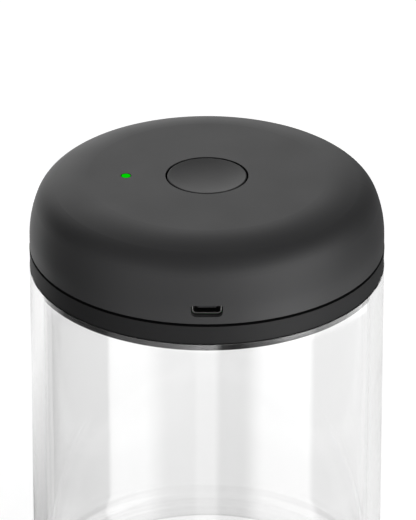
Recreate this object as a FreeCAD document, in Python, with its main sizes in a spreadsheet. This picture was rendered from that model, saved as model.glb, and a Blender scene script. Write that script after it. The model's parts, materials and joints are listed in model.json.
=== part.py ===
import FreeCAD, Part
import math
import operator
import os
import Sketcher

# Driving sizes, in millimetres and degrees
SIZES = {
    # Glass jar
    "jar_radius": 52.5,
    "jar_wall": 4.0,
    "jar_height": 115.0,
    "floor_thickness": 6.0,
    "floor_fillet": 9.0,
    "heel_fillet": 6.0,
    "foot_width": 8.5,
    "punt_depth": 1.6,
    "rim_round": 0.5,
    # Lid outside
    "ring_taper": 0.2,
    "ring_height": 5.9,
    "shadow_gap": 0.85,
    "cover_step": 0.1,
    "dome_height": 28.6,
    "crown_radius": 3000.0,
    "brow_radius": 24.0,
    "shoulder_radius": 10.3,
    "shoulder_level": 20.43,
    "side_radius": 29.9,
    "side_level": 9.9,
    "cover_wall": 2.2,
    "flush_drop": 0.05,
    # Lid base and its seal
    "gasket_gap": 0.3,
    "gasket_leg": 1.2,
    "gasket_flange": 0.8,
    "gasket_drop": 3.0,
    "gasket_hook": 0.8,
    "gasket_chamfer": 0.3,
    "skirt_gap": 0.3,
    "skirt_wall": 1.2,
    "neck_depth": 3.6,
    "neck_wall": 2.4,
    "edge_chamfer": 0.5,
    "deck_thickness": 2.0,
    "well_roof": 1.7,
    "ledge_thickness": 2.0,
    "upstand_height": 4.1,
    "base_wall": 1.6,
    "cover_fit": 0.15,
    "snap_bead": 0.35,
    "snap_half_height": 0.6,
    # Intake filter and the air fitting above it
    "filter_radius": 13.0,
    "filter_recess": 1.6,
    "filter_felt": 0.7,
    "filter_cap_thickness": 1.3,
    "filter_hole_radius": 0.9,
    "port_radius": 2.0,
    "port_wall": 0.7,
    "riser_radius": 3.2,
    "riser_foot": 1.0,
    "barb_level": 4.5,
    "barb_radius": 1.6,
    "barb_bore": 0.9,
    "barb_reach": 7.0,
    # Push button
    "button_radius": 11.75,
    "button_gap": 0.5,
    "button_dish": 1.25,
    "button_edge": 0.4,
    "button_wall": 1.6,
    "button_travel": 1.1,
    "sleeve_wall": 1.6,
    "sleeve_drop": 4.9,
    "button_flange": 1.2,
    "flange_reach": 1.2,
    "stem_radius": 4.0,
    "dome_rise": 3.2,
    "dome_base_radius": 10.2,
    "dome_web": 0.8,
    "dome_foot": 2.4,
    "dome_lip": 0.5,
    "pill_radius": 3.0,
    "pill_thickness": 0.8,
    # Main board under the button
    "board_drop": 10.0,
    "board_thickness": 1.6,
    "board_width": 26.0,
    "board_left": 31.0,
    "board_right": 20.0,
    "board_corner": 3.0,
    "post_radius": 2.4,
    "post_inset": 3.4,
    "screw_radius": 0.75,
    "screw_head_radius": 1.6,
    "screw_head": 1.2,
    "screw_bite": 4.0,
    "pilot_spare": 0.5,
    "slot_depth": 0.6,
    "slot_length": 1.8,
    "slot_width": 0.4,
    "chip_side": 7.0,
    "chip_thickness": 1.0,
    "chip_gap": 2.0,
    "plug_width": 6.0,
    "plug_depth": 4.5,
    "plug_height": 5.0,
    "plug_inset": 0.5,
    "plug_gap": 1.5,
    # Status light
    "light_offset": 23.8,
    "light_hole": 1.6,
    "light_radius": 1.45,
    "light_flange": 2.4,
    "light_flange_thickness": 0.8,
    "light_seat_gap": 0.25,
    "light_gap": 0.2,
    "diode_side": 2.0,
    "diode_height": 0.8,
    # Charging socket and its board
    "usb_level": 10.8,
    "usb_window_width": 9.2,
    "usb_window_height": 3.5,
    "usb_width": 8.6,
    "usb_height": 2.9,
    "usb_depth": 5.6,
    "usb_sheet": 0.3,
    "usb_recess": 1.9,
    "usb_corner": 0.4,
    "tongue_width": 5.4,
    "tongue_thickness": 0.7,
    "tongue_rise": 0.25,
    "tongue_setback": 0.9,
    "charge_width": 18.0,
    "charge_depth": 16.0,
    "charge_thickness": 1.2,
    "charge_setback": 1.3,
    "charge_post_inset": 2.8,
    "notch_gap": 1.5,
    # Battery
    "cell_radius": 7.0,
    "cell_length": 49.0,
    "nub_radius": 2.6,
    "nub_height": 1.0,
    "cell_wall": 1.2,
    "cell_edge": 0.6,
    "crimp_level": 3.0,
    "crimp_depth": 0.5,
    "crimp_slope": 0.4,
    "cradle_length": 40.0,
    "cradle_drop": 1.0,
    "battery_gap": 1.0,
    "tab_thickness": 0.3,
    "tab_width": 4.0,
    "tab_rise": 5.0,
    # Vacuum pump
    "pump_gap": 4.0,
    "pump_shift": 1.2,
    "pump_lift": 0.8,
    "motor_radius": 10.0,
    "motor_length": 23.5,
    "motor_sheet": 0.8,
    "motor_air_gap": 0.5,
    "motor_screw_gap": 0.54,
    "motor_screw_tail": 1.0,
    "motor_screw_head": 0.9,
    "motor_screw_head_radius": 1.36,
    "magnet_thickness": 1.5,
    "magnet_back": 6.0,
    "magnet_front": 4.0,
    "core_inset": 1.0,
    "commutator_radius": 2.4,
    "brush_length": 3.8,
    "brush_gap": 0.4,
    "shaft_radius": 1.0,
    "shaft_tail": 1.0,
    "end_float": 0.2,
    "end_cap_thickness": 2.0,
    "end_cap_gap": 0.5,
    "terminal_width": 2.0,
    "terminal_thickness": 0.5,
    "terminal_reach": 5.0,
    "bush_wall": 1.2,
    "bush_tail": 1.0,
    "boss_wall": 0.8,
    "boss_setback": 0.4,
    "case_corner": 3.0,
    "case_length": 17.0,
    "case_wall": 2.0,
    "case_side": 1.6,
    "wheel_gap": 0.64,
    "wheel_start": 2.4,
    "wheel_drop": 4.1,
    "swing_tilt": 8.0,
    "apex_drop": 3.5,
    "pin_radius": 0.75,
    "pin_bite": 2.6,
    "pin_floor": 0.9,
    "pin_nose": 0.5,
    "rocker_rim": 0.6,
    "rocker_plate": 1.2,
    "rocker_hub": 2.3,
    "rocker_gap": 0.75,
    "rocker_cap": 0.4,
    "cup_margin": 0.4,
    "cup_web": 0.4,
    "cup_wall": 0.6,
    "cup_depth": 1.8,
    "cup_stem": 0.75,
    "stem_gap": 0.35,
    "diaphragm_thickness": 1.2,
    "valve_plate": 2.2,
    "pump_port_radius": 0.55,
    "valve_sheet": 0.5,
    "disc_inset": 0.8,
    "disc_hole_radius": 0.8,
    "head_length": 4.0,
    "head_wall": 1.6,
    "head_inset": 0.4,
    "corner_screw_inset": 2.3,
    "corner_screw_bite": 6.0,
    "saddle_inset": 0.8,
    "saddle_margin": 6.0,
    "saddle_wrap": 4.0,
    "pad_end": 2.0,
    "pad_side": 3.0,
    "foam_side": 5.0,
    "foam_gap": 0.5,
    # Suction hoses and the pressure sensor
    "hose_wall": 0.7,
    "hose_bend": 8.5,
    "hose_swing": 12.0,
    "hose_root": 0.3,
    "hose_end": 0.2,
    "nipple_length": 3.2,
    "sensor_hose_bend": 4.7,
    "sensor_offset": 16.5,
    "sensor_length": 8.0,
    "sensor_height": 4.0,
    # Air release valve
    "valve_offset": 34.0,
    "valve_radius": 5.6,
    "valve_sheet_wall": 0.8,
    "valve_boss": 2.0,
    "nozzle_height": 1.4,
    "nozzle_radius": 1.7,
    "nozzle_bore": 0.8,
    "valve_roof": 1.2,
    "valve_slot_width": 3.0,
    "valve_slot_height": 1.6,
    "bobbin_rise": 2.6,
    "bobbin_wall": 0.6,
    "bobbin_flange": 0.8,
    "coil_inset": 0.2,
    "plunger_radius": 2.2,
    "plunger_gap": 0.3,
    "plunger_length": 9.2,
    "plunger_travel": 1.2,
    "seal_thickness": 1.0,
    "seal_inset": 0.3,
    "spring_wire": 0.25,
    "spring_radius": 1.4,
    # Insulated leads
    "lead_radius": 0.6,
    "lead_spread": 1.8,
    "lead_bend": 1.6,
    # Clearances that recur, and how far cutters pass and pads sink
    "fit_gap": 0.1,
    "running_gap": 0.05,
    "press_gap": 0.02,
    "overshoot": 1.0,
    "sink": 0.5,
}

SIGNS = {"+": operator.add, "-": operator.sub, "*": operator.mul, "/": operator.truediv}


class Size:
    """A length that keeps the spreadsheet formula it comes from."""

    def __init__(self, value, formula):
        self.value = value
        self.formula = formula

    def joined(self, sign, other, swapped=False):
        first, second = self, as_size(other)
        if swapped:
            first, second = second, first
        return Size(SIGNS[sign](first.value, second.value), f"({first.formula} {sign} {second.formula})")

    def __add__(self, other):
        return self.joined("+", other)

    def __radd__(self, other):
        return self.joined("+", other, True)

    def __sub__(self, other):
        return self.joined("-", other)

    def __rsub__(self, other):
        return self.joined("-", other, True)

    def __mul__(self, other):
        return self.joined("*", other)

    def __rmul__(self, other):
        return self.joined("*", other, True)

    def __truediv__(self, other):
        return self.joined("/", other)

    def __neg__(self):
        return Size(-self.value, f"(0 - {self.formula})")


def as_size(number):
    """A plain number as a size of its own."""
    return number if isinstance(number, Size) else Size(float(number), f"{float(number):.9g}")


def root(size):
    """The square root of a size."""
    return Size(math.sqrt(size.value), f"sqrt({size.formula})")


doc = FreeCAD.newDocument("vacuum_canister")
sheet = doc.addObject("Spreadsheet::Sheet", "Sizes")
for row, (alias, number) in enumerate(SIZES.items(), start=1):
    sheet.set(f"A{row}", str(number))
    sheet.setAlias(f"A{row}", alias)
doc.recompute()


class Sheet:
    """The driving sizes by name."""

    def __getattr__(self, alias):
        return Size(SIZES[alias], f"Sizes.{alias}")


d = Sheet()
V = FreeCAD.Vector
ALONG_X = FreeCAD.Rotation(V(0, 1, 0), 90)
nodes = []


def bind(item, path, size):
    """Ties one property of an object to the spreadsheet."""
    item.setExpression(path, as_size(size).formula)


def new_body(label, x=0, y=0, z=0, along_x=False):
    """An empty body at a place worked out from the sizes; along_x lays its axis along the X axis."""
    body = doc.addObject("PartDesign::Body", label)
    body.Label = label
    body.AllowCompound = True
    if along_x:
        body.Placement = FreeCAD.Placement(V(), ALONG_X)
    for axis, value in (("x", x), ("y", y), ("z", z)):
        bind(body, f"Placement.Base.{axis}", value)
    nodes.append(body)
    return body


def new_sketch(body, plane, level=0):
    """A sketch on one of the body's own planes, moved along the plane's normal to a level."""
    sketch = body.newObject("Sketcher::SketchObject", f"{body.Label}_sketch")
    support = [item for item in body.Origin.OriginFeatures if item.Role == plane][0]
    sketch.AttachmentSupport = (support, [""])
    sketch.MapMode = "FlatFace"
    bind(sketch, "AttachmentOffset.Base.z", level)
    return sketch


def dimension(sketch, kind, place, size):
    """One driving constraint that follows the spreadsheet."""
    size = as_size(size)
    index = sketch.addConstraint(Sketcher.Constraint(kind, *place, size.value))
    bind(sketch, f"Constraints[{index}]", size)


def pin(sketch, piece, end, x, y):
    """Holds a point of the sketch at x, y."""
    for kind, value, axis in (("DistanceX", as_size(x), -2), ("DistanceY", as_size(y), -1)):
        if value.formula == "0":
            sketch.addConstraint(Sketcher.Constraint("PointOnObject", piece, end, axis))
        else:
            dimension(sketch, kind, (-1, 1, piece, end), value)


def left(radius):
    """An arc that turns left on its way to the next corner."""
    return (as_size(radius), 1)


def right(radius):
    """An arc that turns right on its way to the next corner."""
    return (as_size(radius), -1)


def outline(*corners):
    """A closed outline through the corners (x, y), or (x, y, arc) where an arc leads to the next corner."""

    def draw(sketch):
        first = sketch.GeometryCount
        pieces, ends = [], []
        for corner, following in zip(corners, corners[1:] + corners[:1]):
            p = V(as_size(corner[0]).value, as_size(corner[1]).value, 0)
            q = V(as_size(following[0]).value, as_size(following[1]).value, 0)
            if len(corner) == 2:
                pieces.append(Part.LineSegment(p, q))
                ends.append((1, 2))
                continue
            radius, turn = corner[2][0].value, corner[2][1]
            chord = q - p
            reach = math.sqrt(max(radius ** 2 - chord.Length ** 2 / 4, 0))
            side = V(-chord.y, chord.x, 0).normalize() * (turn * reach)
            centre = (p + q) * 0.5 + side
            start, finish = (p, q) if turn > 0 else (q, p)
            begin = math.atan2(start.y - centre.y, start.x - centre.x)
            stop = math.atan2(finish.y - centre.y, finish.x - centre.x)
            circle_line = Part.Circle(centre, V(0, 0, 1), radius)
            pieces.append(Part.ArcOfCircle(circle_line, begin, stop if stop > begin else stop + 2 * math.pi))
            ends.append((1, 2) if turn > 0 else (2, 1))
        sketch.addGeometry(pieces, False)
        count = len(pieces)
        links = []
        for i in range(count):
            after = (i + 1) % count
            here, there = (first + i, ends[i][1]), (first + after, ends[after][0])
            links.append(Sketcher.Constraint("Coincident", *here, *there))
        sketch.addConstraint(links)
        for i, corner in enumerate(corners):
            pin(sketch, first + i, ends[i][0], corner[0], corner[1])
            if len(corner) == 3:
                dimension(sketch, "Radius", (first + i,), corner[2][0])

    return draw


def circle(x, y, radius):
    """A full circle."""

    def draw(sketch):
        piece = sketch.GeometryCount
        centre = V(as_size(x).value, as_size(y).value, 0)
        sketch.addGeometry(Part.Circle(centre, V(0, 0, 1), as_size(radius).value), False)
        pin(sketch, piece, 3, x, y)
        dimension(sketch, "Radius", (piece,), radius)

    return draw


def box(low_x, high_x, low_y, high_y, corner=None):
    """A rectangle, with rounded corners where a corner radius is given."""
    if corner is None:
        return outline((low_x, low_y), (high_x, low_y), (high_x, high_y), (low_x, high_y))
    return outline(
        (low_x + corner, low_y), (high_x - corner, low_y, left(corner)),
        (high_x, low_y + corner), (high_x, high_y - corner, left(corner)),
        (high_x - corner, high_y), (low_x + corner, high_y, left(corner)),
        (low_x, high_y - corner), (low_x, low_y + corner, left(corner)),
    )


def turned(body, *corners, angle=360):
    """A revolved solid from an outline of (radius, height)."""
    sketch = new_sketch(body, "XZ_Plane")
    outline(*corners)(sketch)
    feature = body.newObject("PartDesign::Revolution", f"{body.Label}_turned")
    feature.Profile = sketch
    feature.ReferenceAxis = (sketch, ["V_Axis"])
    feature.Angle = angle
    feature.Midplane = angle < 360
    doc.recompute()
    return feature


def grooved(body, *corners):
    """A groove turned out of a body."""
    before = body.Shape.Volume
    sketch = new_sketch(body, "XZ_Plane")
    outline(*corners)(sketch)
    feature = body.newObject("PartDesign::Groove", f"{body.Label}_groove")
    feature.Profile = sketch
    feature.ReferenceAxis = (sketch, ["V_Axis"])
    feature.Angle = 360
    doc.recompute()
    if body.Shape.Volume > before - 1e-4:
        raise RuntimeError(f"the groove in {body.Label} cuts nothing")


def padded(body, plane, low, high, *shapes):
    """Material between two levels along the plane's normal."""
    sketch = new_sketch(body, plane, low)
    for shape in shapes:
        shape(sketch)
    feature = body.newObject("PartDesign::Pad", f"{body.Label}_pad")
    feature.Profile = sketch
    bind(feature, "Length", high - as_size(low))
    doc.recompute()
    return feature


def pocketed(body, plane, low, high, *shapes):
    """Material taken away between two levels along the plane's normal."""
    before = body.Shape.Volume
    sketch = new_sketch(body, plane, low)
    for shape in shapes:
        shape(sketch)
    feature = body.newObject("PartDesign::Pocket", f"{body.Label}_pocket")
    feature.Profile = sketch
    feature.Reversed = True
    bind(feature, "Length", high - as_size(low))
    doc.recompute()
    if body.Shape.Volume > before - 1e-4:
        raise RuntimeError(f"a pocket in {body.Label} cuts nothing")
    return feature


def at_angles(count, radius, start=0.0):
    """Points evenly round a circle."""
    turns = [math.radians(start + 360.0 * i / count) for i in range(count)]
    return [(radius * math.cos(turn), radius * math.sin(turn)) for turn in turns]


def centre_line(points, bend):
    """A route of straight runs joined by tangent arcs of one bend radius."""
    edges = []
    start = points[0]
    for a, b, c in zip(points, points[1:], points[2:]):
        back = (a - b).normalize()
        ahead = (c - b).normalize()
        half = back.getAngle(ahead) / 2
        cut = bend / math.tan(half)
        p, q = b + back * cut, b + ahead * cut
        centre = b + (back + ahead).normalize() * (bend / math.sin(half))
        middle = centre + (b - centre).normalize() * bend
        if (p - start).Length > 1e-6:
            edges.append(Part.makeLine(start, p))
        edges.append(Part.Arc(p, middle, q).toShape())
        start = q
    edges.append(Part.makeLine(start, points[-1]))
    return Part.Wire(edges)


def rod(points, bend, radius):
    """A round bar along a route."""
    path = centre_line(points, bend)
    ring = Part.Wire(Part.makeCircle(radius, points[0], points[1] - points[0]))
    bar = path.makePipeShell([ring], True, False)
    wanted = math.pi * radius ** 2 * path.Length
    if abs(bar.Volume / wanted - 1) > 0.02:
        raise RuntimeError("a bar along a route has the wrong volume")
    return bar


def place(x, y, z):
    """A point worked out from sizes."""
    return V(as_size(x).value, as_size(y).value, as_size(z).value)


def finished(label, shape):
    """A node whose shape follows a free route in space."""
    item = doc.addObject("Part::Feature", label)
    item.Label = label
    item.Shape = shape
    nodes.append(item)
    return item


# Levels that several pieces share
rim = d.jar_height
jar_bore = d.jar_radius - d.jar_wall
neck_radius = jar_bore - d.gasket_gap - d.gasket_leg
neck_bore = neck_radius - d.neck_wall
deck_top = d.deck_thickness - d.neck_depth
ledge_top = d.gasket_flange + d.ledge_thickness
cover_mouth = d.ring_height + d.shadow_gap
lid_radius = d.jar_radius
cover_radius = lid_radius - d.cover_step
cover_bore = cover_radius - d.cover_wall
upstand_radius = cover_bore - d.cover_fit
upstand_top = d.ring_height + d.upstand_height
snap_level = d.side_level - 2 * d.snap_half_height
roof = d.dome_height - d.cover_wall


def crown_at(radius):
    """Height of the crown's outside at a distance from the axis."""
    return d.dome_height - d.crown_radius + root(d.crown_radius * d.crown_radius - radius * radius)


# Glass jar: a thick straight tumbler with a shallow hollow under its foot
jar = new_body("glass_jar")
punt_radius = d.jar_radius - d.heel_fillet - d.foot_width
punt_curve = (punt_radius * punt_radius + d.punt_depth * d.punt_depth) / (2 * d.punt_depth)
turned(
    jar,
    (0, d.punt_depth, right(punt_curve)),
    (punt_radius, 0),
    (d.jar_radius - d.heel_fillet, 0, left(d.heel_fillet)),
    (d.jar_radius, d.heel_fillet),
    (d.jar_radius, rim - d.rim_round, left(d.rim_round)),
    (d.jar_radius - d.rim_round, rim),
    (jar_bore + d.rim_round, rim, left(d.rim_round)),
    (jar_bore, rim - d.rim_round),
    (jar_bore, d.floor_thickness + d.floor_fillet, right(d.floor_fillet)),
    (jar_bore - d.floor_fillet, d.floor_thickness),
    (0, d.floor_thickness),
)

# Top cover: crown, brow, shoulder and side arcs that run into one another, hollowed to an even wall
cover = new_body("top_cover", z=rim)


def arc_between(centre, radius, begin, stop):
    """A piece of a circle from one angle to another."""
    return Part.ArcOfCircle(Part.Circle(centre, V(0, 0, 1), radius), begin, stop)


def angle_to(start, finish):
    """Direction from one point to another."""
    return math.atan2(finish.y - start.y, finish.x - start.x)


def dome_sketch(body, inset, mouth):
    """Half section of the cover's dome down to a mouth, moved inward by an inset."""
    crown, brow = d.crown_radius - inset, d.brow_radius - inset
    shoulder, side = d.shoulder_radius - inset, d.side_radius - inset
    top, reach = d.dome_height - inset, cover_radius - inset
    turn_level = d.side_level + (d.shoulder_level - d.side_level) * side / d.side_radius
    low = V(0, top.value - crown.value, 0)
    inner = V(reach.value - side.value, d.side_level.value, 0)
    lower_turn = math.asin((turn_level.value - inner.y) / side.value)
    middle = inner + V(math.cos(lower_turn), math.sin(lower_turn), 0) * (side.value - shoulder.value)
    gap = middle - low
    a, b, c = crown.value - brow.value, brow.value - shoulder.value, gap.Length
    along = (a * a - b * b + c * c) / (2 * c)
    across = math.sqrt(a * a - along * along)
    ahead = V(gap.x, gap.y, 0).normalize()
    over = low + ahead * along + V(-ahead.y, ahead.x, 0) * across
    upper_turn, middle_turn = angle_to(low, over), angle_to(over, middle)
    widest, floor = V(reach.value, d.side_level.value, 0), mouth.value
    sketch = new_sketch(body, "XZ_Plane")
    sketch.addGeometry([
        arc_between(low, crown.value, upper_turn, math.pi / 2),
        arc_between(over, brow.value, middle_turn, upper_turn),
        arc_between(middle, shoulder.value, lower_turn, middle_turn),
        arc_between(inner, side.value, 0.0, lower_turn),
        Part.LineSegment(V(widest.x, floor, 0), widest),
        Part.LineSegment(V(0, floor, 0), V(widest.x, floor, 0)),
        Part.LineSegment(V(0, top.value, 0), V(0, floor, 0)),
    ], False)
    sketch.addConstraint([
        Sketcher.Constraint("Tangent", 0, 1, 1, 2),
        Sketcher.Constraint("Tangent", 1, 1, 2, 2),
        Sketcher.Constraint("Tangent", 2, 1, 3, 2),
        Sketcher.Constraint("Tangent", 3, 1, 4, 2),
        Sketcher.Constraint("Coincident", 4, 1, 5, 2),
        Sketcher.Constraint("Coincident", 5, 1, 6, 2),
        Sketcher.Constraint("Coincident", 6, 1, 0, 2),
        Sketcher.Constraint("PointOnObject", 0, 3, -2),
        Sketcher.Constraint("PointOnObject", 0, 2, -2),
        Sketcher.Constraint("PointOnObject", 5, 1, -2),
        Sketcher.Constraint("Horizontal", 5),
        Sketcher.Constraint("Vertical", 4),
    ])
    for arc, radius in enumerate((crown, brow, shoulder, side)):
        dimension(sketch, "Radius", (arc,), radius)
    dimension(sketch, "DistanceY", (-1, 1, 0, 2), top)
    dimension(sketch, "DistanceY", (-1, 1, 5, 2), mouth)
    dimension(sketch, "DistanceX", (-1, 1, 5, 2), reach)
    dimension(sketch, "DistanceY", (-1, 1, 3, 1), d.side_level)
    dimension(sketch, "DistanceY", (-1, 1, 3, 2), turn_level)
    return sketch


dome_cuts = (("Revolution", as_size(0), cover_mouth), ("Groove", d.cover_wall, cover_mouth - d.overshoot))
for kind, inset, mouth in dome_cuts:
    dome = cover.newObject(f"PartDesign::{kind}", f"top_cover_{kind.lower()}")
    dome.Profile = dome_sketch(cover, inset, mouth)
    dome.ReferenceAxis = (dome.Profile[0], ["V_Axis"])
    dome.Angle = 360
    doc.recompute()

# Button guide, posts for both boards, the light's hole and the charging window
button_hole = d.button_radius + d.button_gap
sleeve_end = roof - d.sleeve_drop
board_top = d.dome_height - d.board_drop
board_base = board_top - d.board_thickness
half_board = d.board_width / 2
post_low_x = d.post_inset - d.board_left
post_high_x = d.board_right - d.post_inset
post_y = half_board - d.post_inset
board_posts = [(post_low_x, -post_y), (post_low_x, post_y), (post_high_x, -post_y), (post_high_x, post_y)]
charge_top = d.usb_level - d.usb_height / 2
charge_base = charge_top - d.charge_thickness
charge_front = cover_bore - d.charge_setback
charge_back = charge_front - d.charge_depth
charge_post_x = d.charge_width / 2 - d.charge_post_inset
charge_post_y = charge_back + d.post_inset
charge_posts = [(-charge_post_x, -charge_post_y), (charge_post_x, -charge_post_y)]
padded(cover, "XY_Plane", sleeve_end, roof, circle(0, 0, button_hole + d.sleeve_wall))
padded(cover, "XY_Plane", board_top, roof, *[circle(x, y, d.post_radius) for x, y in board_posts])
padded(cover, "XY_Plane", charge_top, roof, *[circle(x, y, d.post_radius) for x, y in charge_posts])
above = d.dome_height + d.overshoot
pocketed(cover, "XY_Plane", sleeve_end, above, circle(0, 0, button_hole))
pocketed(cover, "XY_Plane", sleeve_end, above, circle(-d.light_offset, 0, d.light_hole))
pilot = d.screw_radius + d.running_gap
pilot_depth = d.screw_bite + d.pilot_spare
for level, spots in ((board_top, board_posts), (charge_top, charge_posts)):
    pocketed(cover, "XY_Plane", level, level + pilot_depth, *[circle(x, y, pilot) for x, y in spots])


def socket_outline(width, height):
    """The charging socket's front view: flat top and two widely rounded lower corners."""
    half, bottom, top = width / 2, d.usb_level - height / 2, d.usb_level + height / 2
    turn, corner = height * 0.4, d.usb_corner
    return outline((turn - half, bottom), (half - turn, bottom, left(turn)), (half, bottom + turn),
                   (half, top - corner, left(corner)), (half - corner, top),
                   (corner - half, top, left(corner)), (-half, top - corner),
                   (-half, bottom + turn, left(turn)))


pocketed(cover, "XZ_Plane", cover_bore - d.overshoot, cover_radius + d.overshoot,
         socket_outline(d.usb_window_width, d.usb_window_height))
groove_half, groove_mouth = d.snap_half_height + d.fit_gap, cover_bore - d.running_gap
grooved(cover, (groove_mouth, snap_level - groove_half), (cover_bore + d.snap_bead, snap_level),
        (groove_mouth, snap_level + groove_half))

# Lid base: ring, ledge, neck and deck in one moulding, with a raised well over the filter
base = new_body("lid_base", z=rim)
hook_top = -d.gasket_drop / 2
hook_low = hook_top - d.gasket_hook
well_low = d.filter_recess - d.neck_depth
well_top = well_low + d.well_roof
well_radius = d.filter_radius + d.base_wall
skirt_radius = lid_radius - d.skirt_wall
turned(
    base,
    (0, well_low),
    (d.filter_radius, well_low),
    (d.filter_radius, -d.neck_depth),
    (neck_radius - d.edge_chamfer, -d.neck_depth),
    (neck_radius, d.edge_chamfer - d.neck_depth),
    (neck_radius, hook_low - d.fit_gap),
    (neck_radius - d.gasket_hook - d.fit_gap, hook_low - d.fit_gap),
    (neck_radius - d.gasket_hook - d.fit_gap, hook_top + d.fit_gap),
    (neck_radius, hook_top + d.fit_gap),
    (neck_radius, d.gasket_flange),
    (skirt_radius, d.gasket_flange),
    (skirt_radius, d.skirt_gap),
    (lid_radius - d.ring_taper, d.skirt_gap),
    (lid_radius, d.ring_height),
    (upstand_radius, d.ring_height),
    (upstand_radius, snap_level - d.snap_half_height),
    (upstand_radius + d.snap_bead, snap_level),
    (upstand_radius, snap_level + d.snap_half_height),
    (upstand_radius, upstand_top),
    (upstand_radius - d.base_wall, upstand_top),
    (upstand_radius - d.base_wall, ledge_top),
    (neck_bore, ledge_top),
    (neck_bore, deck_top),
    (well_radius, deck_top),
    (well_radius, well_top),
    (0, well_top),
)
valve_seat = deck_top + d.valve_boss
nozzle_tip = valve_seat + d.nozzle_height
padded(base, "XY_Plane", deck_top - d.sink, valve_seat, circle(-d.valve_offset, 0, d.valve_radius))
padded(base, "XY_Plane", valve_seat - d.sink, nozzle_tip, circle(-d.valve_offset, 0, d.nozzle_radius))
pocketed(base, "XY_Plane", -d.neck_depth - d.overshoot, nozzle_tip + d.overshoot,
         circle(-d.valve_offset, 0, d.nozzle_bore))
pocketed(base, "XY_Plane", well_low - d.overshoot, well_top + d.overshoot,
         circle(0, 0, d.port_radius + d.running_gap))
notch = d.charge_width / 2 + d.notch_gap
upstand_bore = upstand_radius - d.base_wall
notch_back = root(upstand_bore * upstand_bore - notch * notch) - d.overshoot
pocketed(base, "XZ_Plane", notch_back, upstand_radius + d.overshoot,
         box(-notch, notch, d.ring_height, upstand_top + d.overshoot))

# Gasket: a flange on the jar's rim, a leg down inside it and a hook in the neck's groove
gasket = new_body("lid_gasket", z=rim)
leg_radius = neck_radius + d.gasket_leg
turned(
    gasket,
    (neck_radius, -d.gasket_drop),
    (leg_radius - d.gasket_chamfer, -d.gasket_drop),
    (leg_radius, d.gasket_chamfer - d.gasket_drop),
    (leg_radius, 0),
    (skirt_radius - d.fit_gap, 0),
    (skirt_radius - d.fit_gap, d.gasket_flange),
    (neck_radius, d.gasket_flange),
    (neck_radius, hook_top),
    (neck_radius - d.gasket_hook, hook_top),
    (neck_radius - d.gasket_hook, hook_low),
    (neck_radius, hook_low),
)

# Intake filter: felt disc under the port and a perforated cap that snaps in below it
felt = new_body("filter_felt", z=rim)
felt_low = well_low - d.filter_felt
felt_radius = d.filter_radius - d.base_wall
turned(felt, (0, felt_low), (felt_radius, felt_low), (felt_radius, well_low), (0, well_low))
cap = new_body("filter_cap", z=rim)
cap_low = felt_low - d.filter_cap_thickness
cap_radius = d.filter_radius - d.fit_gap
felt_room = felt_radius + d.fit_gap
turned(cap, (0, cap_low), (cap_radius - d.edge_chamfer, cap_low), (cap_radius, cap_low + d.edge_chamfer),
       (cap_radius, well_low), (felt_room, well_low), (felt_room, felt_low), (0, felt_low))
holes = [(0, 0)] + at_angles(6, d.filter_radius * 0.3) + at_angles(12, d.filter_radius * 0.6)
pocketed(cap, "XY_Plane", cap_low - d.overshoot, felt_low + d.overshoot,
         *[circle(x, y, d.filter_hole_radius) for x, y in holes])

# Air fitting: a spigot in the deck, a riser and two barbs
fitting = new_body("inlet_fitting", z=rim)
riser_top = d.barb_level + d.riser_radius * 0.85
foot_reach, foot_top = d.riser_radius + d.riser_foot, well_top + d.riser_foot
turned(fitting, (0, well_low), (d.port_radius, well_low), (d.port_radius, well_top), (foot_reach, well_top),
       (foot_reach, foot_top), (d.riser_radius, foot_top), (d.riser_radius, riser_top), (0, riser_top))
barb_end = d.riser_radius + d.barb_reach
padded(fitting, "YZ_Plane", -barb_end, barb_end, circle(0, d.barb_level, d.barb_radius))
pocketed(fitting, "XY_Plane", well_low - d.overshoot, d.barb_level, circle(0, 0, d.port_radius - d.port_wall))
pocketed(fitting, "YZ_Plane", -barb_end - d.overshoot, barb_end + d.overshoot,
         circle(0, d.barb_level, d.barb_bore))

# Push button: dished cap, its conductive pill and the silicone dome that lifts it
button = new_body("button_cap", z=rim)
button_rim = crown_at(button_hole) - d.flush_drop
dish_radius = d.button_radius - d.button_edge
dish_curve = (dish_radius * dish_radius + d.button_dish * d.button_dish) / (2 * d.button_dish)
cap_under = button_rim - d.button_dish - d.button_wall
flange_top = sleeve_end - d.fit_gap
flange_low = flange_top - d.button_flange
dome_top = board_top + d.dome_rise
cap_bore = d.button_radius - d.button_wall
turned(
    button,
    (0, dome_top),
    (d.stem_radius, dome_top),
    (d.stem_radius, cap_under),
    (cap_bore, cap_under),
    (cap_bore, flange_low),
    (d.button_radius + d.flange_reach, flange_low),
    (d.button_radius + d.flange_reach, flange_top),
    (d.button_radius, flange_top),
    (d.button_radius, button_rim - d.button_edge, left(d.button_edge)),
    (dish_radius, button_rim, right(dish_curve)),
    (0, button_rim - d.button_dish),
)
pill = new_body("contact_pill", z=rim)
pill_low = board_top + d.button_travel + d.fit_gap
pill_top = pill_low + d.pill_thickness
turned(pill, (0, pill_low), (d.pill_radius, pill_low), (d.pill_radius, pill_top), (0, pill_top))
silicone = new_body("button_dome", z=rim)
web_outer = d.dome_base_radius - d.dome_foot
half_web = d.dome_web / 2
turned(
    silicone,
    (d.dome_base_radius, board_top),
    (d.dome_base_radius, board_top + d.dome_web),
    (web_outer, board_top + d.dome_web),
    (d.stem_radius + half_web, dome_top - d.dome_lip),
    (d.stem_radius - half_web / 2, dome_top),
    (0, dome_top),
    (0, pill_top),
    (d.pill_radius + half_web, pill_top),
    (web_outer - 2.5 * half_web, board_top),
)

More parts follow.
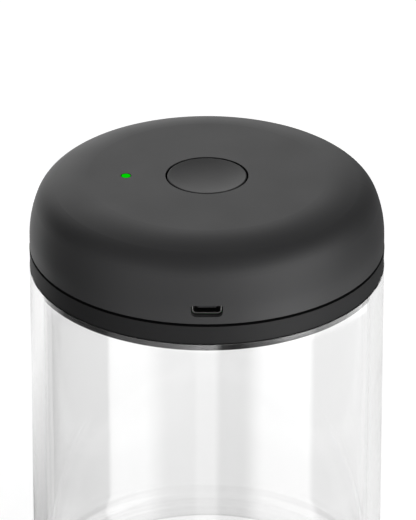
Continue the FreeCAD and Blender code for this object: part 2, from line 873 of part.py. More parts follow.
# Main board, hung from four posts, with its chip, plugs and screws
board = new_body("main_board", z=rim)
padded(board, "XY_Plane", board_base, board_top,
       box(-d.board_left, d.board_right, -half_board, half_board, d.board_corner),
       *[circle(x, y, d.screw_radius + d.fit_gap) for x, y in board_posts])
chip = new_body("control_chip", z=rim)
chip_x = d.riser_radius + d.chip_gap
padded(chip, "XY_Plane", board_base - d.chip_thickness, board_base,
       box(chip_x, chip_x + d.chip_side, -d.chip_side / 2, d.chip_side / 2))
plugs = new_body("board_plugs", z=rim)
plug_low = board_base - d.plug_height
plug_y = half_board - d.plug_depth - d.plug_inset
plug_half = d.plug_width / 2
plug_from_post = d.post_radius + plug_half + d.plug_gap
motor_plug_x = post_low_x + plug_from_post
battery_plug_x = post_high_x - plug_from_post
padded(plugs, "XY_Plane", plug_low, board_base,
       box(motor_plug_x - plug_half, motor_plug_x + plug_half, plug_y, plug_y + d.plug_depth),
       box(battery_plug_x - plug_half, battery_plug_x + plug_half, -plug_y - d.plug_depth, -plug_y),
       box(-plug_half, plug_half, -plug_y - d.plug_depth, -plug_y),
       box(motor_plug_x - plug_half, motor_plug_x + plug_half, -plug_y - d.plug_depth, -plug_y))


def screws(label, spots, seat, tip, head_side):
    """A group of pan-head screws: shank from the seat to the tip, head on the other side of the seat."""
    body = new_body(label, z=rim)
    low, high = (seat, tip) if head_side < 0 else (tip, seat)
    padded(body, "XY_Plane", low, high, *[circle(x, y, d.screw_radius) for x, y in spots])
    head_low = seat - d.screw_head if head_side < 0 else seat
    padded(body, "XY_Plane", head_low, head_low + d.screw_head,
           *[circle(x, y, d.screw_head_radius) for x, y in spots])
    long, wide = d.slot_length / 2, d.slot_width / 2
    pocketed(body, "XY_Plane", head_low, head_low + d.slot_depth,
             *[box(x - long, x + long, y - wide, y + wide) for x, y in spots])
    return body


screws("board_screws", board_posts, board_base, board_top + d.screw_bite, -1)

# Status light: a diode on the board and a clear pipe up through the cover
diode = new_body("status_diode", x=-d.light_offset, z=rim)
half_diode = d.diode_side / 2
diode_top = board_top + d.diode_height
padded(diode, "XY_Plane", board_top, diode_top, box(-half_diode, half_diode, -half_diode, half_diode))
pipe = new_body("light_pipe", x=-d.light_offset, z=rim)
pipe_low = diode_top + d.light_gap
pipe_top = crown_at(d.light_offset) - d.flush_drop
collar_top = crown_at(d.light_offset) - d.cover_wall - d.light_seat_gap
collar_low = collar_top - d.light_flange_thickness
turned(pipe, (0, pipe_low), (d.light_radius, pipe_low), (d.light_radius, collar_low),
       (d.light_flange, collar_low), (d.light_flange, collar_top), (d.light_radius, collar_top),
       (d.light_radius, pipe_top), (0, pipe_top))

# Charging board with its socket just behind the window in the cover's wall
charge = new_body("charge_board", z=rim)
half_charge = d.charge_width / 2
padded(charge, "XY_Plane", charge_base, charge_top,
       box(-half_charge, half_charge, -charge_front, -charge_back),
       *[circle(x, y, d.screw_radius + d.fit_gap) for x, y in charge_posts])
screws("charge_screws", charge_posts, charge_base, charge_top + d.screw_bite, -1)
socket = new_body("usb_socket", z=rim)
socket_front = cover_radius - d.usb_recess
socket_back = socket_front - d.usb_depth
sheet_two = 2 * d.usb_sheet
padded(socket, "XZ_Plane", socket_back, socket_front, socket_outline(d.usb_width, d.usb_height))
pocketed(socket, "XZ_Plane", socket_back + d.usb_sheet, socket_front + d.overshoot,
         socket_outline(d.usb_width - sheet_two, d.usb_height - sheet_two))
tongue = new_body("usb_tongue", z=rim)
half_tongue = d.tongue_width / 2
tongue_low = d.usb_level + d.tongue_rise - d.tongue_thickness / 2
padded(tongue, "XZ_Plane", socket_back + d.usb_sheet, socket_front - d.tongue_setback,
       box(-half_tongue, half_tongue, tongue_low, tongue_low + d.tongue_thickness))

# Battery: one round cell in a trough on the deck
cell_level = deck_top + d.cell_wall + d.cell_radius + d.fit_gap
trough_half = d.cell_radius + d.fit_gap + d.cell_wall
battery_y = well_radius + trough_half + d.battery_gap
half_cell = d.cell_length / 2
cell = new_body("battery_cell", y=-battery_y, z=rim + cell_level, along_x=True)
waist, crimp_low = d.cell_radius - d.crimp_depth, half_cell - d.crimp_level
crimp_high = crimp_low + 2 * d.crimp_slope + d.crimp_depth
cell_flat = d.cell_radius - d.cell_edge
turned(cell, (0, -half_cell), (cell_flat, -half_cell), (d.cell_radius, d.cell_edge - half_cell),
       (d.cell_radius, crimp_low), (waist, crimp_low + d.crimp_slope), (waist, crimp_high - d.crimp_slope),
       (d.cell_radius, crimp_high), (d.cell_radius, half_cell - d.cell_edge), (cell_flat, half_cell),
       (d.nub_radius, half_cell), (d.nub_radius, half_cell + d.nub_height), (0, half_cell + d.nub_height))
trough = new_body("battery_cradle", y=-battery_y, z=rim)
half_trough = d.cradle_length / 2
padded(trough, "XY_Plane", deck_top, cell_level - d.cradle_drop,
       box(-half_trough, half_trough, -trough_half, trough_half))
pocketed(trough, "YZ_Plane", -half_trough - d.overshoot, half_trough + d.overshoot,
         circle(0, cell_level, d.cell_radius + d.fit_gap))
tabs = new_body("battery_tabs", y=-battery_y, z=rim + cell_level)
tab_end = half_cell + d.nub_height
half_tab = d.tab_width / 2
tab_face = box(-half_tab, half_tab, -half_tab, d.tab_rise)
padded(tabs, "YZ_Plane", tab_end, tab_end + d.tab_thickness, tab_face)
padded(tabs, "YZ_Plane", -half_cell - d.tab_thickness, -half_cell, tab_face)

# Vacuum pump, laid along X behind the board: a direct-current motor first
half_case = d.motor_radius
case_bore = half_case - d.case_side
pump_level = deck_top + d.pump_lift + half_case
pump_y = half_board + d.pump_gap + half_case
pump_z = rim + pump_level


def pump_body(label):
    """A body on the pump's axis, measured from the motor's front face."""
    return new_body(label, x=-d.pump_shift, y=pump_y, z=pump_z, along_x=True)


motor_inside = d.motor_radius - d.motor_sheet
shaft_bore = d.shaft_radius + d.running_gap
bush_radius = d.shaft_radius + d.bush_wall
boss_radius = bush_radius + d.boss_wall
boss_end = d.case_wall - d.boss_setback
can = pump_body("motor_can")
turned(can, (bush_radius, -d.motor_sheet), (motor_inside, -d.motor_sheet), (motor_inside, -d.motor_length),
       (d.motor_radius, -d.motor_length), (d.motor_radius, 0), (boss_radius, 0), (boss_radius, boss_end),
       (bush_radius, boss_end))
motor_screw_circle = case_bore - d.motor_screw_head_radius - d.motor_screw_gap
motor_spots = at_angles(2, motor_screw_circle, 90)
pocketed(can, "XY_Plane", -d.motor_sheet - d.overshoot, d.overshoot,
         *[circle(x, y, d.screw_radius + d.running_gap) for x, y in motor_spots])
bush = pump_body("motor_bush")
bush_back, bush_side = -d.motor_sheet - d.bush_tail, bush_radius - d.press_gap
turned(bush, (shaft_bore, bush_back), (bush_side, bush_back), (bush_side, boss_end), (shaft_bore, boss_end))
magnet_outer = motor_inside - d.running_gap
magnet_inner = magnet_outer - d.magnet_thickness
magnet_low, magnet_high = d.magnet_back - d.motor_length, -d.magnet_front
magnets = pump_body("motor_magnets")
turned(magnets, (magnet_inner, magnet_low), (magnet_outer, magnet_low), (magnet_outer, magnet_high),
       (magnet_inner, magnet_high), angle=130)
pair = magnets.newObject("PartDesign::PolarPattern", "motor_magnets_pair")
pair.Originals = [magnets.Tip]
pair.Axis = ([item for item in magnets.Origin.OriginFeatures if item.Role == "Z_Axis"][0], [""])
pair.Angle = 360
pair.Occurrences = 2
magnets.Tip = pair
doc.recompute()
armature = pump_body("motor_armature")
core_radius = magnet_inner - d.motor_air_gap
core_low, core_high = magnet_low + d.core_inset, magnet_high - d.core_inset
turned(armature, (d.shaft_radius, core_low), (core_radius, core_low), (core_radius, core_high),
       (d.shaft_radius, core_high))
slots = [outline((x * 0.5 - y * 0.09, y * 0.5 + x * 0.09), (x * 0.5 + y * 0.09, y * 0.5 - x * 0.09),
                 (x * 1.2 + y * 0.09, y * 1.2 - x * 0.09), (x * 1.2 - y * 0.09, y * 1.2 + x * 0.09))
         for x, y in at_angles(3, core_radius, 30)]
pocketed(armature, "XY_Plane", core_low - d.overshoot, core_high + d.overshoot, *slots)
commutator = pump_body("motor_commutator")
brush_high = core_low - d.brush_gap
brush_low = brush_high - d.brush_length
turned(commutator, (d.shaft_radius, brush_low), (d.commutator_radius, brush_low),
       (d.commutator_radius, brush_high), (d.shaft_radius, brush_high))
shaft = pump_body("motor_shaft")
swing_apex = d.case_length - d.apex_drop
wheel_end = swing_apex - d.wheel_drop
shaft_low, shaft_high = -d.motor_length - d.shaft_tail, wheel_end - d.pin_bite - d.pin_floor
turned(shaft, (0, shaft_low), (d.shaft_radius, shaft_low), (d.shaft_radius, shaft_high), (0, shaft_high))
end_cap = pump_body("motor_end_cap")
plug_high = brush_low - d.end_cap_gap
cap_seat, cap_side = -d.motor_length, motor_inside - d.running_gap
cap_back = cap_seat - d.end_cap_thickness
shaft_room = shaft_low - d.end_float
turned(end_cap, (0, cap_back), (d.motor_radius, cap_back), (d.motor_radius, cap_seat), (cap_side, cap_seat),
       (cap_side, plug_high), (shaft_bore, plug_high), (shaft_bore, shaft_room), (0, shaft_room))
terminal_low = d.commutator_radius + d.fit_gap
terminal_high = terminal_low + d.terminal_thickness
terminal_half = d.terminal_width / 2


def blade_box(side, grow):
    """One motor terminal's section, on one side of the shaft."""
    near, far = terminal_low - grow, terminal_high + grow
    low_y, high_y = (near, far) if side > 0 else (-far, -near)
    return box(-terminal_half - grow, terminal_half + grow, low_y, high_y)


pocketed(end_cap, "XY_Plane", cap_back - d.overshoot, plug_high + d.overshoot,
         blade_box(1, d.running_gap), blade_box(-1, d.running_gap))
terminals = pump_body("motor_terminals")
terminal_end = -d.motor_length - d.terminal_reach
padded(terminals, "XY_Plane", terminal_end, brush_high, blade_box(1, 0), blade_box(-1, 0))

# Pump case with the wheel, its tilted pin and the rocker that the pin swings
corner_spot = half_case - d.corner_screw_inset
corner_spots = [(-corner_spot, -corner_spot), (corner_spot, -corner_spot),
                (corner_spot, corner_spot), (-corner_spot, corner_spot)]
square = box(-half_case, half_case, -half_case, half_case, d.case_corner)
case = pump_body("pump_case")
padded(case, "XY_Plane", 0, d.case_length, square)
pocketed(case, "XY_Plane", d.case_wall, d.case_length + d.overshoot, circle(0, 0, case_bore))
pocketed(case, "XY_Plane", -d.overshoot, d.case_wall + d.overshoot, circle(0, 0, boss_radius + d.fit_gap),
         *[circle(x, y, d.screw_radius + d.fit_gap) for x, y in motor_spots])
corner_tip = d.case_length - d.corner_screw_bite
pocketed(case, "XY_Plane", corner_tip - d.overshoot, d.case_length + d.overshoot,
         *[circle(x, y, d.screw_radius + d.press_gap) for x, y in corner_spots])
motor_screws = pump_body("motor_screws")
padded(motor_screws, "XY_Plane", -d.motor_sheet - d.motor_screw_tail, d.case_wall,
       *[circle(x, y, d.screw_radius) for x, y in motor_spots])
padded(motor_screws, "XY_Plane", d.case_wall, d.case_wall + d.motor_screw_head,
       *[circle(x, y, d.motor_screw_head_radius) for x, y in motor_spots])

# The pin leans so that its line meets the motor's line at the apex
wheel = pump_body("eccentric_wheel")
wheel_radius = motor_screw_circle - d.motor_screw_head_radius - d.wheel_gap
turned(wheel, (d.shaft_radius, d.wheel_start), (wheel_radius, d.wheel_start), (wheel_radius, wheel_end),
       (0, wheel_end), (0, shaft_high + d.fit_gap), (d.shaft_radius, shaft_high + d.fit_gap))
pin_reach = d.wheel_drop + d.pin_bite
lean = new_sketch(wheel, "XY_Plane", swing_apex)
lean.AttachmentOffset = FreeCAD.Placement(V(0, 0, swing_apex.value), FreeCAD.Rotation(V(0, 1, 0), 1))
bind(lean, "AttachmentOffset.Rotation.Angle", d.swing_tilt)
circle(0, 0, d.pin_radius + d.press_gap)(lean)
socketed = wheel.newObject("PartDesign::Pocket", "eccentric_wheel_pin_hole")
socketed.Profile = lean
bind(socketed, "Length", pin_reach)
doc.recompute()


def leaning_body(label):
    """A body on the pin's line, measured from the apex."""
    body = new_body(label, x=swing_apex - d.pump_shift, y=pump_y, z=pump_z, along_x=True)
    bind(body, "Placement.Rotation.Angle", 90 + d.swing_tilt)
    return body


pin_root = d.fit_gap - pin_reach
swing_pin = leaning_body("swing_pin")
turned(swing_pin, (0, pin_root), (d.pin_radius, pin_root), (d.pin_radius, d.pin_nose), (0, d.pin_nose))
rocker = leaning_body("pump_rocker")
hub_low = d.rocker_gap - d.wheel_drop
half_plate = d.rocker_plate / 2
cup_field = case_bore - d.cup_margin
cup_radius = cup_field / (1 + 2 / math.sqrt(3)) - d.cup_web
cup_circle = cup_field - cup_radius
stem_hole = d.cup_stem + d.stem_gap
rocker_radius = cup_circle + stem_hole + d.rocker_rim
hub_high = half_plate + d.rocker_cap
pin_bore, pin_room = d.pin_radius + d.running_gap, d.pin_nose + d.fit_gap
turned(rocker, (pin_bore, hub_low), (d.rocker_hub, hub_low), (d.rocker_hub, -half_plate),
       (rocker_radius, -half_plate), (rocker_radius, half_plate), (d.rocker_hub, half_plate),
       (d.rocker_hub, hub_high), (0, hub_high), (0, pin_room), (pin_bore, pin_room))
cups = at_angles(3, cup_circle)
pocketed(rocker, "XY_Plane", -half_plate - d.overshoot, half_plate + d.overshoot,
         *[circle(x, y, stem_hole) for x, y in cups])

# Three-cup diaphragm, valve plate, valve disc and head, clamped by four long screws
corner_holes = [circle(x, y, d.screw_radius + d.fit_gap) for x, y in corner_spots]
diaphragm = pump_body("pump_diaphragm")
sheet_low = d.case_length
sheet_high = sheet_low + d.diaphragm_thickness
cup_low = sheet_low - d.cup_depth
padded(diaphragm, "XY_Plane", sheet_low, sheet_high, square, *corner_holes)
padded(diaphragm, "XY_Plane", cup_low, sheet_high, *[circle(x, y, cup_radius) for x, y in cups])
pocketed(diaphragm, "XY_Plane", cup_low + d.cup_wall, sheet_high + d.overshoot,
         *[circle(x, y, cup_radius - d.cup_wall) for x, y in cups])
padded(diaphragm, "XY_Plane", swing_apex - d.rocker_plate, cup_low + d.cup_wall / 2,
       *[circle(x, y, d.cup_stem) for x, y in cups])
plate = pump_body("pump_valve_plate")
plate_high = sheet_high + d.valve_plate
ports = at_angles(3, cup_circle * 0.7) + at_angles(3, cup_circle * 1.3)
padded(plate, "XY_Plane", sheet_high, plate_high, square, *corner_holes,
       *[circle(x, y, d.pump_port_radius) for x, y in ports])
disc = pump_body("pump_valve_disc")
disc_radius, disc_high = case_bore - d.disc_inset, plate_high + d.valve_sheet
turned(disc, (0, plate_high), (disc_radius, plate_high), (disc_radius, disc_high), (0, disc_high))
pocketed(disc, "XY_Plane", plate_high - d.overshoot, disc_high + d.overshoot,
         *[circle(x, y, d.disc_hole_radius) for x, y in at_angles(3, cup_circle, 60)])
head = pump_body("pump_head")
head_end = plate_high + d.head_length
chamber_end = head_end - d.head_wall
nipple_end = head_end + d.nipple_length
padded(head, "XY_Plane", plate_high, head_end, square, *corner_holes)
pocketed(head, "XY_Plane", plate_high, chamber_end, circle(0, 0, case_bore - d.head_inset))
padded(head, "XY_Plane", head_end - d.sink, nipple_end, circle(0, 0, d.barb_radius))
pocketed(head, "XY_Plane", chamber_end - d.sink, nipple_end + d.overshoot, circle(0, 0, d.barb_bore))
pump_screws = pump_body("pump_screws")
padded(pump_screws, "XY_Plane", corner_tip, head_end,
       *[circle(x, y, d.screw_radius) for x, y in corner_spots])
padded(pump_screws, "XY_Plane", head_end, head_end + d.screw_head,
       *[circle(x, y, d.screw_head_radius) for x, y in corner_spots])

# Soft mounts: a silicone saddle under the motor, a pad under the case and foam against the roof
saddle = new_body("motor_saddle", x=-d.pump_shift, y=pump_y, z=rim)
saddle_half, saddle_top = d.motor_radius - d.saddle_inset, pump_level - d.motor_radius + d.saddle_wrap
saddle_low, saddle_high = d.saddle_margin - d.motor_length, -d.saddle_margin
padded(saddle, "XY_Plane", deck_top, saddle_top, box(saddle_low, saddle_high, -saddle_half, saddle_half))
pocketed(saddle, "YZ_Plane", saddle_low - d.overshoot, saddle_high + d.overshoot,
         circle(0, pump_level, d.motor_radius + d.running_gap))
rest = new_body("pump_pad", x=-d.pump_shift, y=pump_y, z=rim)
pad_half = half_case - d.pad_side
padded(rest, "XY_Plane", deck_top, pump_level - half_case,
       box(d.pad_end, d.case_length - d.pad_end, -pad_half, pad_half))
foam = new_body("pump_foam", x=-d.pump_shift, y=pump_y, z=rim)
foam_top = crown_at(pump_y + d.foam_side + d.overshoot) - d.cover_wall - d.foam_gap
padded(foam, "XY_Plane", pump_level + half_case, foam_top,
       box(d.pad_end, d.case_length - d.pad_side, -pad_half, d.foam_side))

# Pressure sensor under the board, and the two silicone hoses on the air fitting
sensor = new_body("pressure_sensor", x=-d.sensor_offset, z=rim)
half_sensor = d.sensor_length / 2
sensor_low = board_base - d.sensor_height
padded(sensor, "XY_Plane", sensor_low, board_base, box(-half_sensor, half_sensor, -half_sensor, half_sensor))
sensor_tip = sensor_low - d.nipple_length
padded(sensor, "XY_Plane", sensor_tip, sensor_low + d.sink, circle(0, 0, d.barb_radius))
pocketed(sensor, "XY_Plane", sensor_tip - d.overshoot, sensor_low + d.overshoot, circle(0, 0, d.barb_bore))
hose_bore = d.barb_radius.value + SIZES["running_gap"]
hose_radius = hose_bore + SIZES["hose_wall"]
hose_level = rim + d.barb_level
hose_start = head_end - d.pump_shift
hose_x = hose_start + d.hose_swing
barb_root = d.riser_radius + d.hose_root


def hose(label, points, bend):
    """A silicone hose along a route, with its bore."""
    tube = rod(points, bend, hose_radius).cut(rod(points, bend, hose_bore))
    return finished(label, tube)


hose("suction_hose", [place(hose_start + d.hose_end, pump_y, pump_z), place(hose_x, pump_y, pump_z),
                      place(hose_x, 0, hose_level), place(barb_root, 0, hose_level)], SIZES["hose_bend"])
hose("sensor_hose", [place(-barb_root, 0, hose_level), place(-d.sensor_offset, 0, hose_level),
                     place(-d.sensor_offset, 0, rim + sensor_low - d.hose_end)], SIZES["sensor_hose_bend"])

# Air release valve: can, bobbin, coil, and a sprung plunger whose seal sits on the deck's nozzle
spring_turns = 2.5
spring_closed = (spring_turns + 1) * 2 * d.spring_wire
seal_top = nozzle_tip + d.seal_thickness
plunger_top = seal_top + d.plunger_length
valve_roof = plunger_top + d.plunger_travel + spring_closed
valve_top = valve_roof + d.valve_roof
can_bore = d.valve_radius - d.valve_sheet_wall


def valve_body(label):
    """A body on the release valve's axis."""
    return new_body(label, x=-d.valve_offset, z=rim)


shell_can = valve_body("valve_can")
turned(shell_can, (can_bore, valve_seat), (d.valve_radius, valve_seat), (d.valve_radius, valve_top),
       (0, valve_top), (0, valve_roof), (can_bore, valve_roof))
half_slot = d.valve_slot_width / 2
pocketed(shell_can, "XZ_Plane", -d.valve_radius - d.overshoot, d.valve_radius + d.overshoot,
         box(-half_slot, half_slot, valve_seat - d.overshoot, valve_seat + d.valve_slot_height))
bobbin = valve_body("valve_bobbin")
bobbin_bore = d.plunger_radius + d.plunger_gap
bobbin_core = bobbin_bore + d.bobbin_wall
bobbin_low = nozzle_tip + d.bobbin_rise
flange_radius = can_bore - d.fit_gap
coil_low, coil_high = bobbin_low + d.bobbin_flange, valve_roof - d.bobbin_flange
turned(bobbin, (bobbin_bore, bobbin_low), (flange_radius, bobbin_low), (flange_radius, coil_low),
       (bobbin_core, coil_low), (bobbin_core, coil_high), (flange_radius, coil_high),
       (flange_radius, valve_roof), (bobbin_bore, valve_roof))
coil = valve_body("valve_coil")
coil_inner, coil_outer = bobbin_core + d.press_gap, flange_radius - d.coil_inset
turned(coil, (coil_inner, coil_low), (coil_outer, coil_low), (coil_outer, coil_high), (coil_inner, coil_high))
seal = valve_body("vent_seal")
seal_radius = d.plunger_radius - d.seal_inset
turned(seal, (0, nozzle_tip), (seal_radius, nozzle_tip), (seal_radius, seal_top), (0, seal_top))
plunger = valve_body("vent_plunger")
turned(plunger, (0, seal_top), (d.plunger_radius, seal_top),
       (d.plunger_radius, plunger_top), (0, plunger_top))
spring_low = (rim + plunger_top + d.spring_wire).value
spring_high = (rim + valve_roof - d.spring_wire).value
spring_length = spring_high - spring_low
coil_line = Part.makeHelix(spring_length / spring_turns, spring_length, SIZES["spring_radius"])
wire_ring = Part.Wire(Part.makeCircle(SIZES["spring_wire"], V(SIZES["spring_radius"], 0, 0), V(0, 1, 0)))
spring = Part.Wire(coil_line).makePipeShell([wire_ring], True, True)
spring.translate(place(-d.valve_offset, 0, spring_low))
finished("vent_spring", spring)

# Insulated leads between the boards' plugs and what they feed
step = d.lead_spread / 2
plug_face = plug_y + d.plug_depth + d.running_gap


def leads(label, *routes):
    """A group of insulated leads, one bar to a route; heights are measured from the jar's rim."""
    bars = []
    for route in routes:
        points = [place(x, y, rim + z) for x, y, z in route]
        bars.append(rod(points, SIZES["lead_bend"], SIZES["lead_radius"]))
    return finished(label, Part.makeCompound(bars))


tab_x = terminal_end - d.pump_shift - d.running_gap
tab_y = (terminal_low + terminal_high) / 2
outer_x, inner_x = tab_x - 2 * d.lead_spread, tab_x - d.lead_spread
aisle = half_board + d.pump_gap / 2
motor_high, motor_low = board_base - 1.4, board_base - 3.6
leads("motor_leads",
      [(tab_x, pump_y + tab_y, pump_level), (outer_x, pump_y + tab_y, pump_level),
       (outer_x, aisle + 1.6, motor_low), (motor_plug_x - step, aisle + 0.6, motor_low),
       (motor_plug_x - step, plug_face, motor_low)],
      [(tab_x, pump_y - tab_y, pump_level), (inner_x, pump_y - tab_y, pump_level),
       (inner_x, aisle + 2.4, motor_high), (motor_plug_x + step, aisle + 0.6, motor_high),
       (motor_plug_x + step, plug_face, motor_high)])
cell_end = tab_end + d.tab_thickness + d.running_gap
cell_back = half_cell + d.tab_thickness + d.running_gap
tab_level = cell_level + 3.5
front_aisle = half_board + 1.6
high_run, low_run = board_base - 0.9, board_base - 3.4
leads("battery_leads",
      [(cell_end, -battery_y, tab_level), (cell_end + 3, -battery_y, tab_level),
       (cell_end + 3, -front_aisle - 2, low_run), (battery_plug_x + step, -front_aisle, low_run),
       (battery_plug_x + step, -plug_face, low_run)],
      [(-cell_back, -battery_y, tab_level), (-cell_back - 3, -battery_y, tab_level),
       (-cell_back - 3, -front_aisle - 1.7, high_run), (battery_plug_x - step, -front_aisle, high_run),
       (battery_plug_x - step, -plug_face, high_run)])
charge_run = board_base - 2.4
charge_y = charge_back + 1.8
leads("charge_leads", *[
    [(side * step, -charge_y, charge_top + d.running_gap), (side * step, -charge_y, charge_run),
     (side * step, -plug_face, charge_run)]
    for side in (-1, 1)])
can_side = d.valve_radius + d.running_gap
leads("valve_leads",
      [(-d.valve_offset - step, -can_side, board_base - 8),
       (-d.valve_offset - step, -front_aisle - 0.6, board_base - 8),
       (motor_plug_x - step, -front_aisle - 0.6, board_base - 4),
       (motor_plug_x - step, -plug_face, board_base - 4)],
      [(-d.valve_offset + step, -can_side, board_base - 6),
       (-d.valve_offset + step, -front_aisle + 0.2, board_base - 6),
       (motor_plug_x + step, -front_aisle + 0.2, board_base - 1.6),
       (motor_plug_x + step, -plug_face, board_base - 1.6)])

# Every object is sound before the nodes are written
doc.recompute()
for item in doc.Objects:
    if "Invalid" in item.State or "Error" in item.State:
        raise RuntimeError(f"{item.Label} is in error")
os.makedirs("parts", exist_ok=True)
for node in nodes:
    shape = node.Shape
    if shape.isNull() or not shape.isValid() or not shape.Solids:
        raise RuntimeError(f"{node.Label} has no sound solid")
    shape.exportStep(f"parts/{node.Label}.step")
    print(f"{node.Label}: {len(shape.Solids)} solids, {shape.Volume:.2f} mm3")
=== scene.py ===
# %% [markdown]
# # A vacuum seal canister
#
# The object is a clear glass jar under a matte black lid with a battery pump inside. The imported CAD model
# comes in first as a fixed frame, in metres, and nothing in it is moved. What this file adds is what the
# eye needs: the finish of each surface, a glass that bends light cleanly, a seal with lips, two pieces that
# give way when they are pressed, and a small studio.

import json
import math

import bmesh
import bpy
import numpy as np
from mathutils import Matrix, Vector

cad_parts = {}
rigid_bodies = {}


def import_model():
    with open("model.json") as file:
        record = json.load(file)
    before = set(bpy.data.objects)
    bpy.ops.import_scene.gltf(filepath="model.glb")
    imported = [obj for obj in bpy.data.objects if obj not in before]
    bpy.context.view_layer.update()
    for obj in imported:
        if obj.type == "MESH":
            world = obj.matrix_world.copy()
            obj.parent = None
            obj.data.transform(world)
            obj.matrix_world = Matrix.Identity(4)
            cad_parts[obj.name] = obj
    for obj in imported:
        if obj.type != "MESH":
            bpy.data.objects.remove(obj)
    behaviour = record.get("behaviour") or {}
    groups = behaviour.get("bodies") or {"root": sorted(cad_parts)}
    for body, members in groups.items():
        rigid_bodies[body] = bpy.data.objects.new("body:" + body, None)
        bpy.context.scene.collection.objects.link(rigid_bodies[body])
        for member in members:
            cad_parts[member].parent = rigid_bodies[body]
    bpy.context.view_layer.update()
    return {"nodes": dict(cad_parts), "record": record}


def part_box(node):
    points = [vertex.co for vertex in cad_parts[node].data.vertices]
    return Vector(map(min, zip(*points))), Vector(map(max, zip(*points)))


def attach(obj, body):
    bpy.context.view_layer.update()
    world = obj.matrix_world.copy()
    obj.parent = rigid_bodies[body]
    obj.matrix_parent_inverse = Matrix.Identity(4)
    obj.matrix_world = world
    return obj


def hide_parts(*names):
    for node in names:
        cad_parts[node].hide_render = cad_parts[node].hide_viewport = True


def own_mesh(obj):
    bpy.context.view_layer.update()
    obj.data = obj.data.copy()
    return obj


for leftover in list(bpy.data.objects):
    bpy.data.objects.remove(leftover)
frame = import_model()
nodes = frame["nodes"]
MM = 0.001

# %% [markdown]
# ## The camera
#
# The picture is a long-lens product shot from about 27 degrees above the table. A camera fitted to the
# lid's two ellipses gives a 400 mm lens on a 36 mm frame, 1.7 m away. The lens is that long, so the jar's
# sides stay almost parallel and the bottom of the picture cuts the jar off below its middle.

# %% Camera
PICTURE = (416, 520)
LENS, SENSOR = 400.6, 36.0
EYE, LOOKS_DOWN = (0.32, -1523.8, 898.4), 27.19
camera = bpy.data.objects.new("camera", bpy.data.cameras.new("camera"))
camera.data.lens = LENS
camera.data.sensor_width = SENSOR
camera.data.sensor_fit = "AUTO"
camera.data.clip_end = 20.0
camera.location = [v * MM for v in EYE]
camera.rotation_euler = (math.radians(90.0 - LOOKS_DOWN), 0.0, 0.0)
bpy.context.scene.collection.objects.link(camera)
bpy.context.scene.camera = camera
print("focal length in pixels", round(LENS / SENSOR * max(PICTURE)))

# %% [markdown]
# ## Colours and nodes
#
# Colours are written as sRGB hex, the way a picker shows them. One function turns them to the linear values
# that a shader works in, and makes them darker or paler by a share where a finish varies. One more function
# adds a node: it sets the node's own settings, and then fills each input, by its name or its number, with a
# value or with a link from another node.


# %% Helpers for materials
def linear(code, share=1.0):
    """An sRGB hex code as linear red, green, blue and alpha, times a share and no brighter than white.

    A dark channel is divided by 12.92; any other is (c + 0.055) / 1.055 to the power of 2.4.
    """
    channels = np.array([int(code[i:i + 2], 16) for i in (1, 3, 5)]) / 255.0
    light = np.where(channels <= 0.04045, channels / 12.92, ((channels + 0.055) / 1.055) ** 2.4)
    return (*np.clip(light * share, 0.0, 1.0), 1.0)


def add(tree, kind, inputs=None, **settings):
    """Adds one node with its settings, then sets or links its inputs."""
    node = tree.nodes.new("ShaderNode" + kind)
    for name, value in settings.items():
        setattr(node, name, value)
    for name, value in (inputs or {}).items():
        if isinstance(value, bpy.types.NodeSocket):
            tree.links.new(value, node.inputs[name])
        else:
            node.inputs[name].default_value = value
    return node


def blank(name):
    """An empty material: its node tree, its output and the Object coordinates of what wears it."""
    material = bpy.data.materials.new(name)
    material.use_nodes = True
    tree = material.node_tree
    tree.nodes.clear()
    output = add(tree, "OutputMaterial")
    return material, tree, output, add(tree, "TexCoord").outputs["Object"]


def per_mm(size):
    """The texture scale at which one cell of a noise measures so many millimetres."""
    return 1.0 / (size * MM)


# %% [markdown]
# ## Moulded black ABS
#
# The lid is injection-moulded ABS from a spark-eroded mould. The erosion leaves a skin of tiny pits, about
# a quarter of a millimetre wide, that scatters the light: the plastic looks dry and grey where it mirrors a
# bright backdrop and nearly black elsewhere. The pits are finer than a pixel here, so they are drawn at
# twice their size. A slow second noise varies the gloss by a few percent, as handling and mould flow do.


# %% ABS and other moulded plastics
def moulded(name, colour, roughness, pit_mm, pit_depth_mm, shift=0.12, gloss=0.5, flow_mm=14.0, drift=0.04):
    """Moulded plastic: pits for the mould's texture, and a slow change of colour and gloss from its flow.

    The shift is how far the colour strays to either side, and the drift is the same for the roughness.
    """
    material, tree, output, place = blank(name)
    flow = add(tree, "TexNoise", {"Vector": place, "Scale": per_mm(flow_mm), "Detail": 3.0})
    pits = add(tree, "TexNoise", {"Vector": place, "Scale": per_mm(pit_mm), "Detail": 2.0, "Roughness": 0.6})
    tone = add(tree, "Mix", {
        "Factor": flow.outputs["Fac"], 6: linear(colour, 1.0 - shift), 7: linear(colour, 1.0 + shift)},
        data_type="RGBA")
    dry = add(tree, "MapRange", {
        "Value": flow.outputs["Fac"], "To Min": roughness - drift, "To Max": roughness + drift})
    skin = add(tree, "Bump", {
        "Height": pits.outputs["Fac"], "Strength": 1.0, "Distance": pit_depth_mm * MM})
    shader = add(tree, "BsdfPrincipled", {
        "Base Color": tone.outputs[2], "Roughness": dry.outputs["Result"], "Normal": skin.outputs["Normal"],
        "IOR": 1.53, "Specular IOR Level": gloss})
    tree.links.new(shader.outputs["BSDF"], output.inputs["Surface"])
    return material


cover_abs = moulded("spark_eroded_abs", "#262627", 0.50, 0.5, 0.012)
button_abs = moulded("button_abs", "#1e1e1f", 0.50, 0.5, 0.010)
base_abs = moulded("lid_base_abs", "#111112", 0.60, 0.5, 0.010, gloss=0.28)
print("moulded plastics", cover_abs.name, button_abs.name, base_abs.name)

